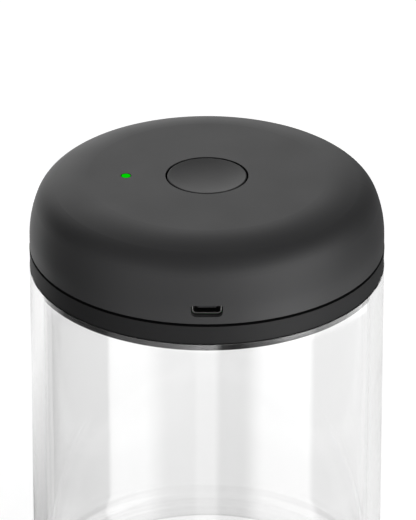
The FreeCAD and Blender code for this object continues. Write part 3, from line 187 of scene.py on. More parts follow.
# %% [markdown]
# ## Pressed glass
#
# The jar is soda-lime glass, pressed and fire-polished. It has next to no colour of its own: what shows are
# the reflections on its walls of what stands round it, a little light lost at each of its four surfaces,
# and dark lines at the sides where the thick wall bends the view away. Its surface is never quite flat, so
# a very shallow wave, a few centimetres long, moves the reflections a little.


# %% Glass
def pressed_glass(name, wave_mm=34.0, wave_depth_mm=0.05):
    """Clear soda-lime glass with a faint tint and a slow wave left by the press."""
    material, tree, output, place = blank(name)
    wave = add(tree, "TexNoise", {"Vector": place, "Scale": per_mm(wave_mm), "Detail": 1.0})
    skin = add(tree, "Bump", {
        "Height": wave.outputs["Fac"], "Strength": 1.0, "Distance": wave_depth_mm * MM})
    tint = add(tree, "Mix", {
        "Factor": wave.outputs["Fac"], 6: linear("#f4f4f4"), 7: linear("#f6f6f6")}, data_type="RGBA")
    shader = add(tree, "BsdfPrincipled", {
        "Base Color": tint.outputs[2], "Roughness": 0.0, "IOR": 1.52, "Transmission Weight": 1.0,
        "Normal": skin.outputs["Normal"]})
    tree.links.new(shader.outputs["BSDF"], output.inputs["Surface"])
    return material


jar_glass_finish = pressed_glass("pressed_soda_lime_glass")
print("glass", jar_glass_finish.name)

# %% [markdown]
# ## The jar as a turned surface
#
# A glass that is seen through needs more than flat facets: each facet would bend the view its own way. The
# jar is therefore turned again from its own section. The section is one open line from the middle of the
# foot's hollow, round the heel, up the wall, over the rim, and down the bore to the middle of the floor.
# Arcs are sampled finely and straight runs coarsely, and the line is then carried round the axis.


# %% Turning a section round the axis
def arc(centre, radius, start, stop, count):
    """Points on a circle: centre plus radius times the cosine and sine of even steps of angle, in degrees."""
    turn = np.radians(np.linspace(start, stop, count))
    return np.stack([centre[0] + radius * np.cos(turn), centre[1] + radius * np.sin(turn)], axis=1)


def run(first, last, count):
    """Points along a straight line, without its two ends.

    The step t^3 (10 - 15 t + 6 t^2) crowds them towards the ends, so that smooth shading stays flat up to
    a curve.
    """
    step = np.linspace(0.0, 1.0, count + 2)[1:-1, None]
    share = step ** 3 * (10.0 - 15.0 * step + 6.0 * step ** 2)
    return (1.0 - share) * np.array(first) + share * np.array(last)


def surface(name, grid, material, closed=False, ends=False, weld=1e-7):
    """A smooth mesh on a grid of points in millimetres whose rows are rings.

    A closed grid joins its last row to its first; ends fills the first and the last ring. Points that lie
    closer than the weld, in metres, become one.
    """
    rows, columns = grid.shape[:2]
    index = np.arange(rows * columns).reshape(rows, columns)
    below = index if closed else index[:-1]
    above = np.roll(index, -1, axis=0) if closed else index[1:]
    faces = np.stack([below, np.roll(below, -1, axis=1), np.roll(above, -1, axis=1), above], axis=-1)
    caps = [index[0].tolist(), index[-1].tolist()] if ends else []
    mesh = bpy.data.meshes.new(name)
    mesh.from_pydata((grid.reshape(-1, 3) * MM).tolist(), [], faces.reshape(-1, 4).tolist() + caps)
    welded = bmesh.new()
    welded.from_mesh(mesh)
    bmesh.ops.remove_doubles(welded, verts=welded.verts, dist=weld)
    bmesh.ops.recalc_face_normals(welded, faces=welded.faces)
    welded.to_mesh(mesh)
    welded.free()
    mesh.polygons.foreach_set("use_smooth", np.ones(len(mesh.polygons), dtype=bool))
    mesh.materials.append(material)
    piece = bpy.data.objects.new(name, mesh)
    bpy.context.scene.collection.objects.link(piece)
    print(name, len(mesh.vertices), "points,", len(mesh.polygons), "faces")
    return piece


def turned(name, section, material, around=256, closed=False):
    """A section of (radius, height) in millimetres carried round the object's axis.

    Each point is (r cos t, r sin t, h) over a grid of section points and angles t.
    """
    angles = np.linspace(0.0, 2.0 * math.pi, around, endpoint=False)
    radius, height = section[:, :1], section[:, 1:]
    grid = np.stack([radius * np.cos(angles), radius * np.sin(angles),
                     np.broadcast_to(height, (len(section), around))], axis=-1)
    return surface(name, grid, material, closed)


# %% Jar
JAR_RADIUS, JAR_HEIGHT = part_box("glass_jar")[1].x / MM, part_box("glass_jar")[1].z / MM
WALL, FLOOR, FLOOR_FILLET, HEEL, FOOT, PUNT, RIM = 4.0, 6.0, 9.0, 6.0, 8.5, 1.6, 0.5
BORE, EDGE = JAR_RADIUS - WALL, 0.06
punt_radius = JAR_RADIUS - HEEL - FOOT
punt_curve = (punt_radius ** 2 + PUNT ** 2) / (2 * PUNT)
punt_angle = math.degrees(math.asin(punt_radius / punt_curve))
jar_section = np.concatenate([
    arc((0.0, PUNT - punt_curve), punt_curve, 90.0, 90.0 - punt_angle, 24),
    run((punt_radius, 0.0), (JAR_RADIUS - HEEL, 0.0), 5),
    arc((JAR_RADIUS - HEEL, HEEL), HEEL, -90.0, 0.0, 20),
    run((JAR_RADIUS, HEEL), (JAR_RADIUS, JAR_HEIGHT - EDGE), 30),
    arc((JAR_RADIUS - EDGE, JAR_HEIGHT - EDGE), EDGE, 0.0, 90.0, 6),
    run((JAR_RADIUS - EDGE, JAR_HEIGHT), (BORE + RIM, JAR_HEIGHT), 3),
    arc((BORE + RIM, JAR_HEIGHT - RIM), RIM, 90.0, 180.0, 8),
    run((BORE, JAR_HEIGHT - RIM), (BORE, FLOOR + FLOOR_FILLET), 30),
    arc((BORE - FLOOR_FILLET, FLOOR + FLOOR_FILLET), FLOOR_FILLET, 0.0, -90.0, 24),
    run((BORE - FLOOR_FILLET, FLOOR), (0.0, FLOOR), 12),
    [(0.0, FLOOR)],
])
jar = turned("jar_glass", jar_section, jar_glass_finish)
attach(jar, "jar")
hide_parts("glass_jar")

# %% [markdown]
# ## The seal
#
# Under the lid a silicone ring hangs into the jar's mouth. A plain band would not seal: the real one has a
# flange that lies on the rim and a lip that bears on the glass. The lip flattens as the lid goes in, which
# the rigid CAD ring leaves out, so the ring is turned again with its lip pressed and stands in for the CAD
# solid.


# %% Silicone
def silicone(name, colour, roughness, gloss=0.5, peel_mm=0.7, peel_depth_mm=0.01, dust_mm=6.0, drift=0.06):
    """Moulded silicone: a soft gloss, a little dust and a fine orange-peel skin."""
    material, tree, output, place = blank(name)
    peel = add(tree, "TexNoise", {"Vector": place, "Scale": per_mm(peel_mm), "Detail": 2.0})
    dust = add(tree, "TexNoise", {"Vector": place, "Scale": per_mm(dust_mm), "Detail": 4.0})
    tone = add(tree, "Mix", {
        "Factor": dust.outputs["Fac"], 6: linear(colour, 0.8), 7: linear(colour, 1.2)}, data_type="RGBA")
    dry = add(tree, "MapRange", {
        "Value": dust.outputs["Fac"], "To Min": roughness - drift, "To Max": roughness + drift})
    skin = add(tree, "Bump", {
        "Height": peel.outputs["Fac"], "Strength": 0.5, "Distance": peel_depth_mm * MM})
    shader = add(tree, "BsdfPrincipled", {
        "Base Color": tone.outputs[2], "Roughness": dry.outputs["Result"], "Normal": skin.outputs["Normal"],
        "IOR": 1.41, "Specular IOR Level": gloss})
    tree.links.new(shader.outputs["BSDF"], output.inputs["Surface"])
    return material


seal_silicone = silicone("black_silicone", "#0e0e0e", 0.55, gloss=0.2)
clear_silicone = silicone("milky_silicone", "#dcdcd6", 0.40)
carbon_rubber = silicone("carbon_rubber", "#101010", 0.62)
print("silicones", seal_silicone.name, clear_silicone.name, carbon_rubber.name)

# %% Seal ring
NECK, SKIRT, BRIM = BORE - 1.5, JAR_RADIUS - 1.3, JAR_RADIUS - 0.2
LIP_OFF, LIP_ON, LIP_SLOPE = BORE - 0.25, BORE - 0.02, 0.12
SEAL_LOW, LIP_TOP = JAR_HEIGHT - 3.2, JAR_HEIGHT - 0.2
FLANGE_TOP, SEAL_TOP = JAR_HEIGHT + 0.28, JAR_HEIGHT + 0.8
seal_section = np.array([
    (NECK, SEAL_LOW), (LIP_OFF, SEAL_LOW), (LIP_ON, SEAL_LOW + LIP_SLOPE), (LIP_ON, LIP_TOP - LIP_SLOPE),
    (LIP_OFF, LIP_TOP), (LIP_OFF, JAR_HEIGHT), (BRIM, JAR_HEIGHT), (BRIM, FLANGE_TOP), (SKIRT, FLANGE_TOP),
    (SKIRT, SEAL_TOP), (NECK, SEAL_TOP)])
seal = turned("seal_ring", seal_section, seal_silicone, around=192, closed=True)
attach(seal, "lid")
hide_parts("lid_gasket")

# %% [markdown]
# ## The status light
#
# The green dot is the end of a light pipe: clear acrylic, tinted by the diode under it. The middle of its
# face is brighter than its edge, because the diode sits right below, so the glow falls off with the
# distance from the pipe's axis.


# %% Lit lens
def lit_lens(name, axis_x_mm, radius_mm, even=0.86):
    """Acrylic that glows green, evenly up to a share of its radius and then fading out to its edge."""
    material, tree, output, place = blank(name)
    parts = add(tree, "SeparateXYZ", {"Vector": place})
    flat = add(tree, "CombineXYZ", {"X": parts.outputs["X"], "Y": parts.outputs["Y"]})
    middle = add(tree, "VectorMath", {
        0: flat.outputs["Vector"], 1: (axis_x_mm * MM, 0.0, 0.0)}, operation="DISTANCE")
    fall = add(tree, "MapRange", {
        "Value": middle.outputs["Value"], "From Min": even * radius_mm * MM, "From Max": radius_mm * MM,
        "To Min": 1.0, "To Max": 0.0}, interpolation_type="SMOOTHSTEP")
    glow = add(tree, "Mix", {
        "Factor": fall.outputs["Result"], 6: linear("#001a00"), 7: linear("#00cb01")}, data_type="RGBA")
    shader = add(tree, "BsdfPrincipled", {
        "Base Color": linear("#010801"), "Roughness": 0.30, "IOR": 1.49, "Specular IOR Level": 0.0,
        "Emission Color": glow.outputs[2], "Emission Strength": 1.0})
    tree.links.new(shader.outputs["BSDF"], output.inputs["Surface"])
    return material


LIGHT_X, LIGHT_RADIUS = -23.8, 1.45
lens = lit_lens("lit_green_acrylic", LIGHT_X, LIGHT_RADIUS)
print("lens", lens.name)

# %% [markdown]
# ## Metals
#
# The socket's shell is nickel-plated sheet; inside the lid there are zinc-plated screws and cans, ground
# steel, sintered bronze and copper. Rolled and drawn sheet has fine lines along one way, so the noise is
# stretched along an axis, and it drives the gloss and a slight bump. The socket's shell carries painted
# shade: its tone is full at the lower lip and falls towards black further into the narrow shell and
# higher up, under the window's upper edge.


# %% Metal finishes
def painted_socket_shade(tree, place, low, high, start_mm=0.05, lip_mm=0.5, inside=0.33, top=0.25):
    """Painted shade in a shell: a share of its tone, one at the lower lip, and less further in and higher up.

    It falls in straight lines to the inside share at lip_mm behind the mouth, and to the top share at the
    shell's upper edge, and the two shares are multiplied.
    """
    parts = add(tree, "SeparateXYZ", {"Vector": place})
    deep = add(tree, "MapRange", {
        "Value": parts.outputs["Y"], "From Min": low.y + start_mm * MM, "From Max": low.y + lip_mm * MM,
        "To Min": 1.0, "To Max": inside})
    tall = add(tree, "MapRange", {
        "Value": parts.outputs["Z"], "From Min": low.z + lip_mm * MM, "From Max": high.z,
        "To Min": 1.0, "To Max": top})
    both = add(tree, "Math", {0: deep.outputs["Result"], 1: tall.outputs["Result"]}, operation="MULTIPLY")
    return both.outputs[0]


LINES_UP, LINES_ACROSS, LINES_BACK = (1.0, 1.0, 12.0), (12.0, 1.0, 1.0), (1.0, 10.0, 1.0)
NO_LINES = (1.0, 1.0, 1.0)


def metal(name, colour, roughness, stretch=LINES_UP, grain_mm=0.25, line_mm=0.004, spread=0.10, shell=None):
    """A metal with drawn or ground lines: one noise, pulled long, in the gloss, the tone and the bump."""
    material, tree, output, place = blank(name)
    pulled = add(tree, "Mapping", {"Vector": place, "Scale": tuple(1.0 / s for s in stretch)})
    lines = add(tree, "TexNoise", {
        "Vector": pulled.outputs["Vector"], "Scale": per_mm(grain_mm), "Detail": 3.0})
    tone = add(tree, "Mix", {
        "Factor": lines.outputs["Fac"], 6: linear(colour, 0.85), 7: linear(colour, 1.1)}, data_type="RGBA")
    # Painted shade: the tone goes towards black further into the shell and higher up in it.
    if shell:
        tone = add(tree, "Mix", {
            "Factor": painted_socket_shade(tree, place, *shell), 6: linear("#000000"), 7: tone.outputs[2]},
            data_type="RGBA")
    dull = add(tree, "MapRange", {
        "Value": lines.outputs["Fac"], "To Min": roughness - spread / 2, "To Max": roughness + spread / 2})
    skin = add(tree, "Bump", {"Height": lines.outputs["Fac"], "Strength": 0.4, "Distance": line_mm * MM})
    shader = add(tree, "BsdfPrincipled", {
        "Base Color": tone.outputs[2], "Metallic": 1.0, "Roughness": dull.outputs["Result"],
        "Normal": skin.outputs["Normal"]})
    tree.links.new(shader.outputs["BSDF"], output.inputs["Surface"])
    return material


NICKEL = "#a5a4a2"
finishes = {
    "nickel_steel": metal("nickel_plated_sheet", NICKEL, 0.38, LINES_BACK),
    "socket_shell_painted_shade": metal("socket_shell_painted_shade", NICKEL, 0.38, LINES_BACK, shell=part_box("usb_socket")),
    "zinc_steel": metal("zinc_plated_steel", "#b4b7ba", 0.38),
    "bright_steel": metal("ground_steel", "#c4c5c8", 0.20, LINES_ACROSS),
    "bronze": metal("sintered_bronze", "#9a7742", 0.55, NO_LINES, grain_mm=0.15),
    "copper": metal("copper", "#c07a55", 0.32),
    "ferrite": metal("sintered_ferrite", "#3a3a3c", 0.62, NO_LINES, grain_mm=0.3),
}
print("metals", sorted(finishes))

# %% [markdown]
# ## What the lid holds inside
#
# The pump, the boards and the battery never show while the lid is shut, but a part that is opened in an
# editor should look right there too. Each gets the finish its record names: solder mask with its weave,
# felt, foam, shrink sleeve and the like.


# %% Inner finishes
def woven_board(name, colour, weave_mm=0.5, weave_depth_mm=0.006, track_mm=3.0):
    """Solder mask over glass cloth: a square weave under a glossy green coat, with paler tracks in it."""
    material, tree, output, place = blank(name)
    threads = add(tree, "TexChecker", {"Vector": place, "Scale": per_mm(weave_mm)})
    tracks = add(tree, "TexBrick", {
        "Vector": place, "Scale": per_mm(track_mm), "Mortar Size": 0.06, "Color1": linear(colour),
        "Color2": linear(colour, 0.85), "Mortar": linear(colour, 1.5)})
    skin = add(tree, "Bump", {
        "Height": threads.outputs["Fac"], "Strength": 0.3, "Distance": weave_depth_mm * MM})
    shader = add(tree, "BsdfPrincipled", {
        "Base Color": tracks.outputs["Color"], "Roughness": 0.32, "Normal": skin.outputs["Normal"],
        "Coat Weight": 0.4})
    tree.links.new(shader.outputs["BSDF"], output.inputs["Surface"])
    return material


def fluffy(name, colour, cell_mm, depth_mm):
    """Felt or foam: a cellular noise of fibres or pores, deep enough to shade itself."""
    material, tree, output, place = blank(name)
    cells = add(tree, "TexVoronoi", {"Vector": place, "Scale": per_mm(cell_mm)})
    tone = add(tree, "Mix", {
        "Factor": cells.outputs["Distance"], 6: linear(colour, 0.7), 7: linear(colour)}, data_type="RGBA")
    skin = add(tree, "Bump", {
        "Height": cells.outputs["Distance"], "Strength": 0.8, "Distance": depth_mm * MM})
    shader = add(tree, "BsdfPrincipled", {
        "Base Color": tone.outputs[2], "Roughness": 0.95, "Normal": skin.outputs["Normal"],
        "Sheen Weight": 0.3})
    tree.links.new(shader.outputs["BSDF"], output.inputs["Surface"])
    return material


finishes.update({
    "clear_glass": jar_glass_finish,
    "black_plastic": cover_abs,
    "black_silicone": seal_silicone,
    "clear_silicone": clear_silicone,
    "carbon_rubber": carbon_rubber,
    "grey_foam": fluffy("closed_cell_foam", "#5a5a5c", 0.5, 0.12),
    "white_felt": fluffy("needled_felt", "#e6e4dc", 0.25, 0.15),
    "white_nylon": moulded("moulded_nylon", "#e8e5dc", 0.45, 0.6, 0.006, shift=0.04),
    "grey_plastic": moulded("grey_abs", "#8d8f92", 0.50, 0.6, 0.010, shift=0.05),
    "dark_plastic": moulded("dark_epoxy", "#262626", 0.45, 0.4, 0.006),
    "green_board": woven_board("solder_mask_board", "#1b5e34"),
    "green_lens": lens,
    "white_diode": moulded("diode_package", "#e8e8d8", 0.30, 0.3, 0.003, shift=0.03),
    "cell_wrap": moulded("shrink_sleeve", "#2a5c9c", 0.28, 1.5, 0.02, shift=0.06),
    "lead_black": moulded("lead_insulation", "#1f1f20", 0.42, 0.6, 0.008),
})
print("finishes", len(finishes))

# %% Dressing the frame
tongue_resin = moulded("socket_tongue_resin", "#232325", 0.60, 0.4, 0.004, shift=0.05)
wears = {entry["node"]: entry["material_slot"] for entry in frame["record"]["subparts"]}
own_finish = {
    "button_cap": button_abs, "lid_base": base_abs, "filter_cap": base_abs, "usb_tongue": tongue_resin,
    "usb_socket": finishes["socket_shell_painted_shade"]}
for node, slot in wears.items():
    nodes[node].data.materials.clear()
    nodes[node].data.materials.append(own_finish.get(node, finishes[slot]))
print("dressed", len(wears), "nodes,", len(own_finish), "of them in a finish of their own")

# %% [markdown]
# ## Two pieces that give way
# Under the button a silicone dome pushes back, and in the release valve a coil spring shuts the plunger.
# Both get shorter when they are pressed, and a rigid solid would be cut by the piece that presses it. They
# are made again in the CAD sizes, each with a mesh of its own. A hair of slack keeps them off what presses
# them, and the dome's foot stays inside the button's skirt, which comes down round it.


# %% Button dome
def cornered(corners, count=6):
    """A line through corners: straight runs, with points crowded at each corner so that it stays crisp."""
    legs = [np.vstack([first, run(first, last, count)]) for first, last in zip(corners[:-1], corners[1:])]
    return np.vstack(legs + [corners[-1]])


SLACK, SKIRT_ROOM = 0.02, 0.15
STEM, PILL, WEB, DOME_FOOT, DOME_LIP = 4.0, 3.0, 0.8, 2.4, 0.5
dome_low, dome_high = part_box("button_dome")
reach = dome_high.x / MM - SKIRT_ROOM
board = dome_low.z / MM
top = dome_high.z / MM - SLACK
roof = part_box("contact_pill")[1].z / MM + SLACK
dome_section = cornered([
    (0.0, roof), (PILL + WEB / 2, roof), (reach - DOME_FOOT - 1.25 * WEB, board), (reach, board),
    (reach, board + WEB), (reach - DOME_FOOT, board + WEB), (STEM + WEB / 2, top - DOME_LIP),
    (STEM - WEB / 4, top), (0.0, top)])
dome = turned("silicone_dome", dome_section, clear_silicone, around=96)
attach(dome, "lid")
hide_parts("button_dome")
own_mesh(dome)


# %% Valve spring
def coiled(name, axis, radius, wire, low, high, turns, material, along=121, around=12):
    """A round wire wound into a coil: a circle carried along a helix.

    At the winding angle a the wire's middle is at (axis x + R cos a, axis y + R sin a), and it climbs
    evenly from low to high. A point of its skin at the angle b lies w cos b further out and w sin b higher.
    """
    wind = np.linspace(0.0, 2.0 * math.pi * turns, along)[:, None]
    skin = np.linspace(0.0, 2.0 * math.pi, around, endpoint=False)[None, :]
    out = radius + wire * np.cos(skin)
    height = low + (high - low) * wind / wind[-1] + wire * np.sin(skin)
    grid = np.stack([axis[0] + out * np.cos(wind), axis[1] + out * np.sin(wind), height], axis=-1)
    return surface(name, grid, material, ends=True)


WIRE, COIL, TURNS = 0.25, 1.4, 2.5
spring_low, spring_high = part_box("vent_spring")
spring_middle = (spring_low + spring_high) / 2 / MM
spring = coiled("coil_spring", spring_middle, COIL, WIRE - SLACK, spring_low.z / MM + WIRE,
                spring_high.z / MM - WIRE, TURNS, finishes["bright_steel"])
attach(spring, "lid")
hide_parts("vent_spring")
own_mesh(spring)

# %% [markdown]
# ## The floor
#
# The floor is a plain white sheet that runs back under a white backdrop. To the camera, and to what is seen
# in or through the glass, it shines as plain white; to everything else it is an ordinary pale sheet that
# takes the object's shadow. Clear glass is drawn by what stands round it, so the sheet behind the jar has
# soft bands, and the jar shows them as tall upright stripes. Seen through the glass, the bands grow dimmer
# towards the jar: a painted shadow of the jar on the sheet. What a single surface mirrors of the sheet is
# dimmer: on the left close to the jar, and on the right above all for matte pieces, so that the lid's right
# side stays dark beside clear glass.


# %% Reading the light's path and tables
def straight_through(tree, surfaces=2.5):
    """The ray's path, and one for rays that crossed more surfaces than the two of a single wall."""
    path = add(tree, "LightPath").outputs
    crossed = add(tree, "Math", {0: path["Transmission Depth"], 1: surfaces}, operation="GREATER_THAN")
    return path, crossed.outputs[0]


def read_off(tree, value, table):
    """A level read off a table of (place, level) pairs, with straight lines between them."""
    first, last, peak = table[0][0], table[-1][0], max(level for place, level in table)
    share = add(tree, "MapRange", {"Value": value, "From Min": first, "From Max": last})
    ramp = add(tree, "ValToRGB", {"Fac": share.outputs["Result"]})
    stops = ramp.color_ramp.elements
    for place, level in table[1:-1]:
        stops.new((place - first) / (last - first))
    for stop, (place, level) in zip(stops, table):
        stop.color = (level / peak,) * 3 + (1.0,)
    return add(tree, "Math", {0: ramp.outputs["Color"], 1: peak}, operation="MULTIPLY").outputs[0]


# %% Floor sheet
BLEND, FAN = 30.0, 390.0
NEAR, FAR_THROUGH, FAR_MIRRORED = 30.0, 160.0, 140.0
THROUGH_SHADOW_LEVELS, LEFT_LEVELS = (0.9, 1.0), (0.5, 0.95)
RIGHT_MATTE, RIGHT_CLEAR = 0.15, 0.86
CAMERA_SHINE, CAMERA_PAPER, GLASS_PAPER = 0.78, 0.55, 0.2
WHITE = (1.0, 1.0, 1.0, 1.0)


def white_sheet(name, uneven):
    """A pale sheet that looks plain white to the camera, and white with soft bands through the glass.

    The bands fan out to the back: the place across is x over (1 + y / FAN). Levels between near and far
    are straight lines over y; through the glass this paints the jar's shadow on the sheet, dimmer near it.
    The left and right sides blend across the axis.
    """
    material, tree, output, place = blank(name)
    path, through = straight_through(tree)
    parts = add(tree, "SeparateXYZ", {"Vector": place})
    x, y = parts.outputs["X"], parts.outputs["Y"]
    behind = add(tree, "MapRange", {"Value": y, "From Min": -BLEND * MM, "From Max": BLEND * MM},
                 interpolation_type="SMOOTHSTEP")
    mirrored = add(tree, "Math", {0: path["Is Glossy Ray"], 1: behind.outputs["Result"]},
                   operation="MULTIPLY")
    seen = add(tree, "Math", {0: mirrored.outputs[0], 1: through}, operation="MAXIMUM")
    shown = add(tree, "Math", {0: seen.outputs[0], 1: path["Is Camera Ray"]}, operation="MAXIMUM")
    spread = add(tree, "MapRange", {"Value": y, "From Max": FAN * MM, "To Min": 1.0, "To Max": 2.0},
                 clamp=False)
    across = add(tree, "Math", {0: x, 1: spread.outputs["Result"]}, operation="DIVIDE")
    bands = read_off(tree, across.outputs[0], [(at * MM, level) for at, level in uneven])
    # Painted shadow of the jar: through the glass, the bands dim towards it.
    painted_jar_shadow = add(tree, "MapRange", {
        "Value": y, "From Min": NEAR * MM, "From Max": FAR_THROUGH * MM,
        "To Min": THROUGH_SHADOW_LEVELS[0], "To Max": THROUGH_SHADOW_LEVELS[1]})
    banded = add(tree, "Math", {0: bands, 1: painted_jar_shadow.outputs["Result"]}, operation="MULTIPLY")
    on_left = add(tree, "MapRange", {
        "Value": y, "From Min": NEAR * MM, "From Max": FAR_MIRRORED * MM,
        "To Min": LEFT_LEVELS[0], "To Max": LEFT_LEVELS[1]})
    on_right = add(tree, "MapRange", {
        "Value": path["Is Singular Ray"], "To Min": RIGHT_MATTE, "To Max": RIGHT_CLEAR})
    side = add(tree, "MapRange", {"Value": x, "From Min": -BLEND * MM, "From Max": BLEND * MM})
    single = add(tree, "Mix", {
        "Factor": side.outputs["Result"], 2: on_left.outputs["Result"], 3: on_right.outputs["Result"]},
        data_type="FLOAT")
    glassy = add(tree, "Mix", {
        "Factor": through, 2: single.outputs[0], 3: banded.outputs[0]}, data_type="FLOAT")
    level = add(tree, "Mix", {
        "Factor": path["Is Camera Ray"], 2: glassy.outputs[0], 3: CAMERA_SHINE}, data_type="FLOAT")
    paper = add(tree, "MapRange", {
        "Value": path["Is Camera Ray"], "To Min": GLASS_PAPER, "To Max": CAMERA_PAPER})
    sheet = add(tree, "BsdfDiffuse", {"Color": linear("#d8d8d8")})
    shade = add(tree, "BsdfDiffuse", {"Color": paper.outputs["Result"]})
    shine = add(tree, "Emission", {"Color": WHITE, "Strength": level.outputs[0]})
    lit = add(tree, "AddShader", {0: shine.outputs[0], 1: shade.outputs[0]})
    both = add(tree, "MixShader", {0: shown.outputs[0], 1: sheet.outputs[0], 2: lit.outputs[0]})
    tree.links.new(both.outputs[0], output.inputs["Surface"])
    return material


# %% Floor
FLOOR_HALF = 4000.0
UNEVEN = [
    (-106, 0.80), (-74, 0.76), (-60, 0.80), (-53, 0.91), (-29.8, 0.91), (-28.4, 1.20), (-18, 1.16),
    (-11.5, 0.93), (10.5, 0.91), (12, 0.95), (16, 1.17), (30.6, 1.23), (32.6, 0.92), (53, 0.92), (97, 0.92)]
floor_mesh = bpy.data.meshes.new("floor")
floor_corners = np.array([(-1, -1, 0), (1, -1, 0), (1, 1, 0), (-1, 1, 0)]) * FLOOR_HALF * MM
floor_mesh.from_pydata(floor_corners.tolist(), [], [(0, 1, 2, 3)])
floor_mesh.materials.append(white_sheet("white_sheet", UNEVEN))
floor = bpy.data.objects.new("floor", floor_mesh)
bpy.context.scene.collection.objects.link(floor)
print("floor", len(UNEVEN), "places in its bands")

# %% [markdown]
# ## The reflector card
#
# A wall of glass mirrors only a few percent of what stands before it, and yet that gives a clear jar its
# shape. A reflector card lies on the floor in front of the jar, out of the picture, and only gloss and
# glass show it. Its bright and dark sectors become upright stripes. Further out is the part that the wall
# mirrors at the seal's height, and then the part for the lid. The card has two sets of levels: one for the
# clear images in glass and one for the blurred sheen on matte pieces. Where the glass never shows it to the
# main camera, close to the jar and far out, the first set is plain, and the jar keeps its outline from
# other sides too.


# %% Card light
def card_light(name, clear_label, matte_label):
    """Light that only mirrors show, read off the card's own attributes; plain white through both walls."""
    material, tree, output, _ = blank(name)
    path, through = straight_through(tree)
    clear = add(tree, "Attribute", attribute_name=clear_label).outputs["Fac"]
    matte = add(tree, "Attribute", attribute_name=matte_label).outputs["Fac"]
    mirrored = add(tree, "Mix", {"Factor": path["Is Singular Ray"], 2: matte, 3: clear}, data_type="FLOAT")
    level = add(tree, "Mix", {"Factor": through, 2: mirrored.outputs[0], 3: 1.0}, data_type="FLOAT")
    shine = add(tree, "Emission", {"Color": WHITE, "Strength": level.outputs[0]})
    tree.links.new(shine.outputs[0], output.inputs["Surface"])
    return material


# %% Reflector card on the floor
def reflector(name, zones, columns=281, widest=64.0, gap=0.5, lift=0.4):
    """A fan on the floor that the jar's wall shows as upright stripes.

    A wall point at angle f mirrors the view towards 2 f, so each column of the fan is the line that starts
    at the wall at f and leaves it at twice that angle. Angles count from the front, to the right. Each zone
    is a distance along the column and two tables of strengths over the angle 2 f: the first for the clear
    images in glass, the second for the blurred sheen on matte pieces.
    """
    distances, clear, matte = zip(*zones)
    angle = np.radians(np.linspace(-widest, widest, columns))[None, :, None]
    along = np.array(distances)[:, None, None]
    start = np.concatenate([np.sin(angle), -np.cos(angle)], axis=2) * (JAR_RADIUS + gap)
    flat = start + np.concatenate([np.sin(2 * angle), -np.cos(2 * angle)], axis=2) * along
    points = np.concatenate([flat, np.full((len(zones), columns, 1), lift)], axis=2).reshape(-1, 3) * MM
    index = np.arange(len(points)).reshape(len(zones), columns)
    faces = np.stack([index[:-1, :-1], index[1:, :-1], index[1:, 1:], index[:-1, 1:]], axis=-1)
    mesh = bpy.data.meshes.new(name)
    mesh.from_pydata(points.tolist(), [], faces.reshape(-1, 4).tolist())
    turn = np.degrees(2 * angle[0, :, 0])
    for label, tables in (("clear_glow", clear), ("matte_glow", matte)):
        strength = np.concatenate([np.interp(turn, *zip(*table)) for table in tables])
        glow = mesh.attributes.new(label, "FLOAT", "POINT")
        glow.data.foreach_set("value", strength.astype(np.float32))
    mesh.materials.append(card_light(name + "_light", "clear_glow", "matte_glow"))
    card = bpy.data.objects.new(name, mesh)
    bpy.context.scene.collection.objects.link(card)
    card.visible_camera = False
    card.visible_diffuse = False
    card.visible_shadow = False
    return card


PLAIN = [(-128, 0.6), (-40, 0.85), (0, 0.9), (40, 0.8), (128, 0.6)]
LEFT_AND_MIDDLE = [
    (-128, 0.3), (-70, 0.3), (-62, 0.7), (-46, 0.8), (-40, 1.0), (-9, 1.1), (-6, 1.7), (5, 1.7), (9, 0.3),
    (24, 0.3)]
FOR_GLASS = LEFT_AND_MIDDLE + [(28, 0.6), (31, 0.8), (72, 0.8), (74, 1.1), (128, 1.1)]
FOR_SHEEN = LEFT_AND_MIDDLE + [(28, 1.0), (31, 2.6), (42, 3.4), (72, 3.4), (74, 1.1), (128, 1.1)]
FOR_SEAL = [
    (-128, 0.6), (-114, 0.6), (-112, 0.15), (-68, 0.08), (-67, 0.7), (-44, 1.0), (-20, 2.2), (-6, 4.0),
    (5, 4.0), (8, 2.0), (10, 0.4), (15, 0.3), (16, 0.1), (24, 0.3), (30, 0.9), (46, 2.2), (55, 4.2),
    (70, 4.2), (78, 2.4), (128, 2.2)]
FOR_LID = [
    (-128, 0.05), (-70, 0.05), (-60, 0.8), (-20, 0.55), (20, 0.75), (40, 1.4), (70, 1.7), (85, 0.4),
    (110, 0.4), (128, 0.1)]
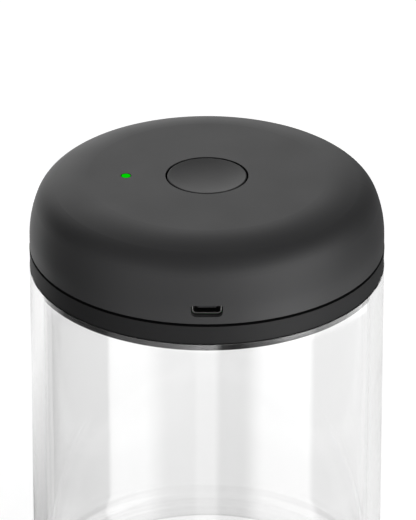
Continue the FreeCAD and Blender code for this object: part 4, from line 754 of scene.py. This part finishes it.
card = reflector("reflector_card", [
    (0, PLAIN, FOR_SHEEN), (60, PLAIN, FOR_SHEEN), (96, FOR_GLASS, FOR_SHEEN), (208, FOR_GLASS, FOR_SHEEN),
    (211, FOR_SEAL, FOR_SEAL), (219, FOR_SEAL, FOR_SEAL), (222, FOR_LID, FOR_LID), (224, FOR_LID, FOR_LID),
    (226, PLAIN, FOR_LID), (1200, PLAIN, FOR_LID)])
print("card", len(card.data.polygons), "sectors")

# %% [markdown]
# ## The room
#
# The world is the rest of the room. To the camera it is at least plain white. Everything else meets a ring
# of soft panels at eye level, brightest at the front right and dark behind both sides, under a dim ceiling
# that comes lower at the front. The bearing counts from the front, to the right.

# %% World
AROUND = [
    (-180, 1.35), (-152, 1.4), (-128, 0.05), (-100, 0.05), (-75, 0.35), (-40, 1.4), (0, 1.0), (25, 2.0),
    (50, 3.0), (75, 2.4), (100, 0.2), (128, 0.05), (152, 0.15), (180, 1.35)]
CEILING, CEILING_STARTS, CEILING_FULL, CEILING_TILT = 0.28, 0.5, 0.75, 0.17
world = bpy.data.worlds.new("studio")
bpy.context.scene.world = world
world.use_nodes = True
sky = world.node_tree
sky.nodes.clear()
heading = add(sky, "SeparateXYZ", {"Vector": add(sky, "TexCoord").outputs["Generated"]})
ahead = add(sky, "Math", {0: heading.outputs["Y"], 1: -1.0}, operation="MULTIPLY")
bearing = add(sky, "Math", {0: heading.outputs["X"], 1: ahead.outputs[0]}, operation="ARCTAN2")
degrees = add(sky, "Math", {0: bearing.outputs[0]}, operation="DEGREES")
panels = read_off(sky, degrees.outputs[0], AROUND)
height = add(sky, "Math", {0: ahead.outputs[0], 1: CEILING_TILT, 2: heading.outputs["Z"]},
             operation="MULTIPLY_ADD")
under = add(sky, "MapRange", {
    "Value": height.outputs[0], "From Min": CEILING_STARTS, "From Max": CEILING_FULL, "To Min": 1.0,
    "To Max": 0.0}, interpolation_type="SMOOTHSTEP")
level = add(sky, "Mix", {"Factor": under.outputs["Result"], 2: CEILING, 3: panels}, data_type="FLOAT")
to_camera = add(sky, "Math", {0: add(sky, "LightPath").outputs["Is Camera Ray"], 1: level.outputs[0]},
                operation="MAXIMUM")
backdrop = add(sky, "Background", {"Color": WHITE, "Strength": to_camera.outputs[0]})
add(sky, "OutputWorld", {"Surface": backdrop.outputs[0]})
bpy.context.scene.view_settings.view_transform = "Standard"
print("world", world.name)
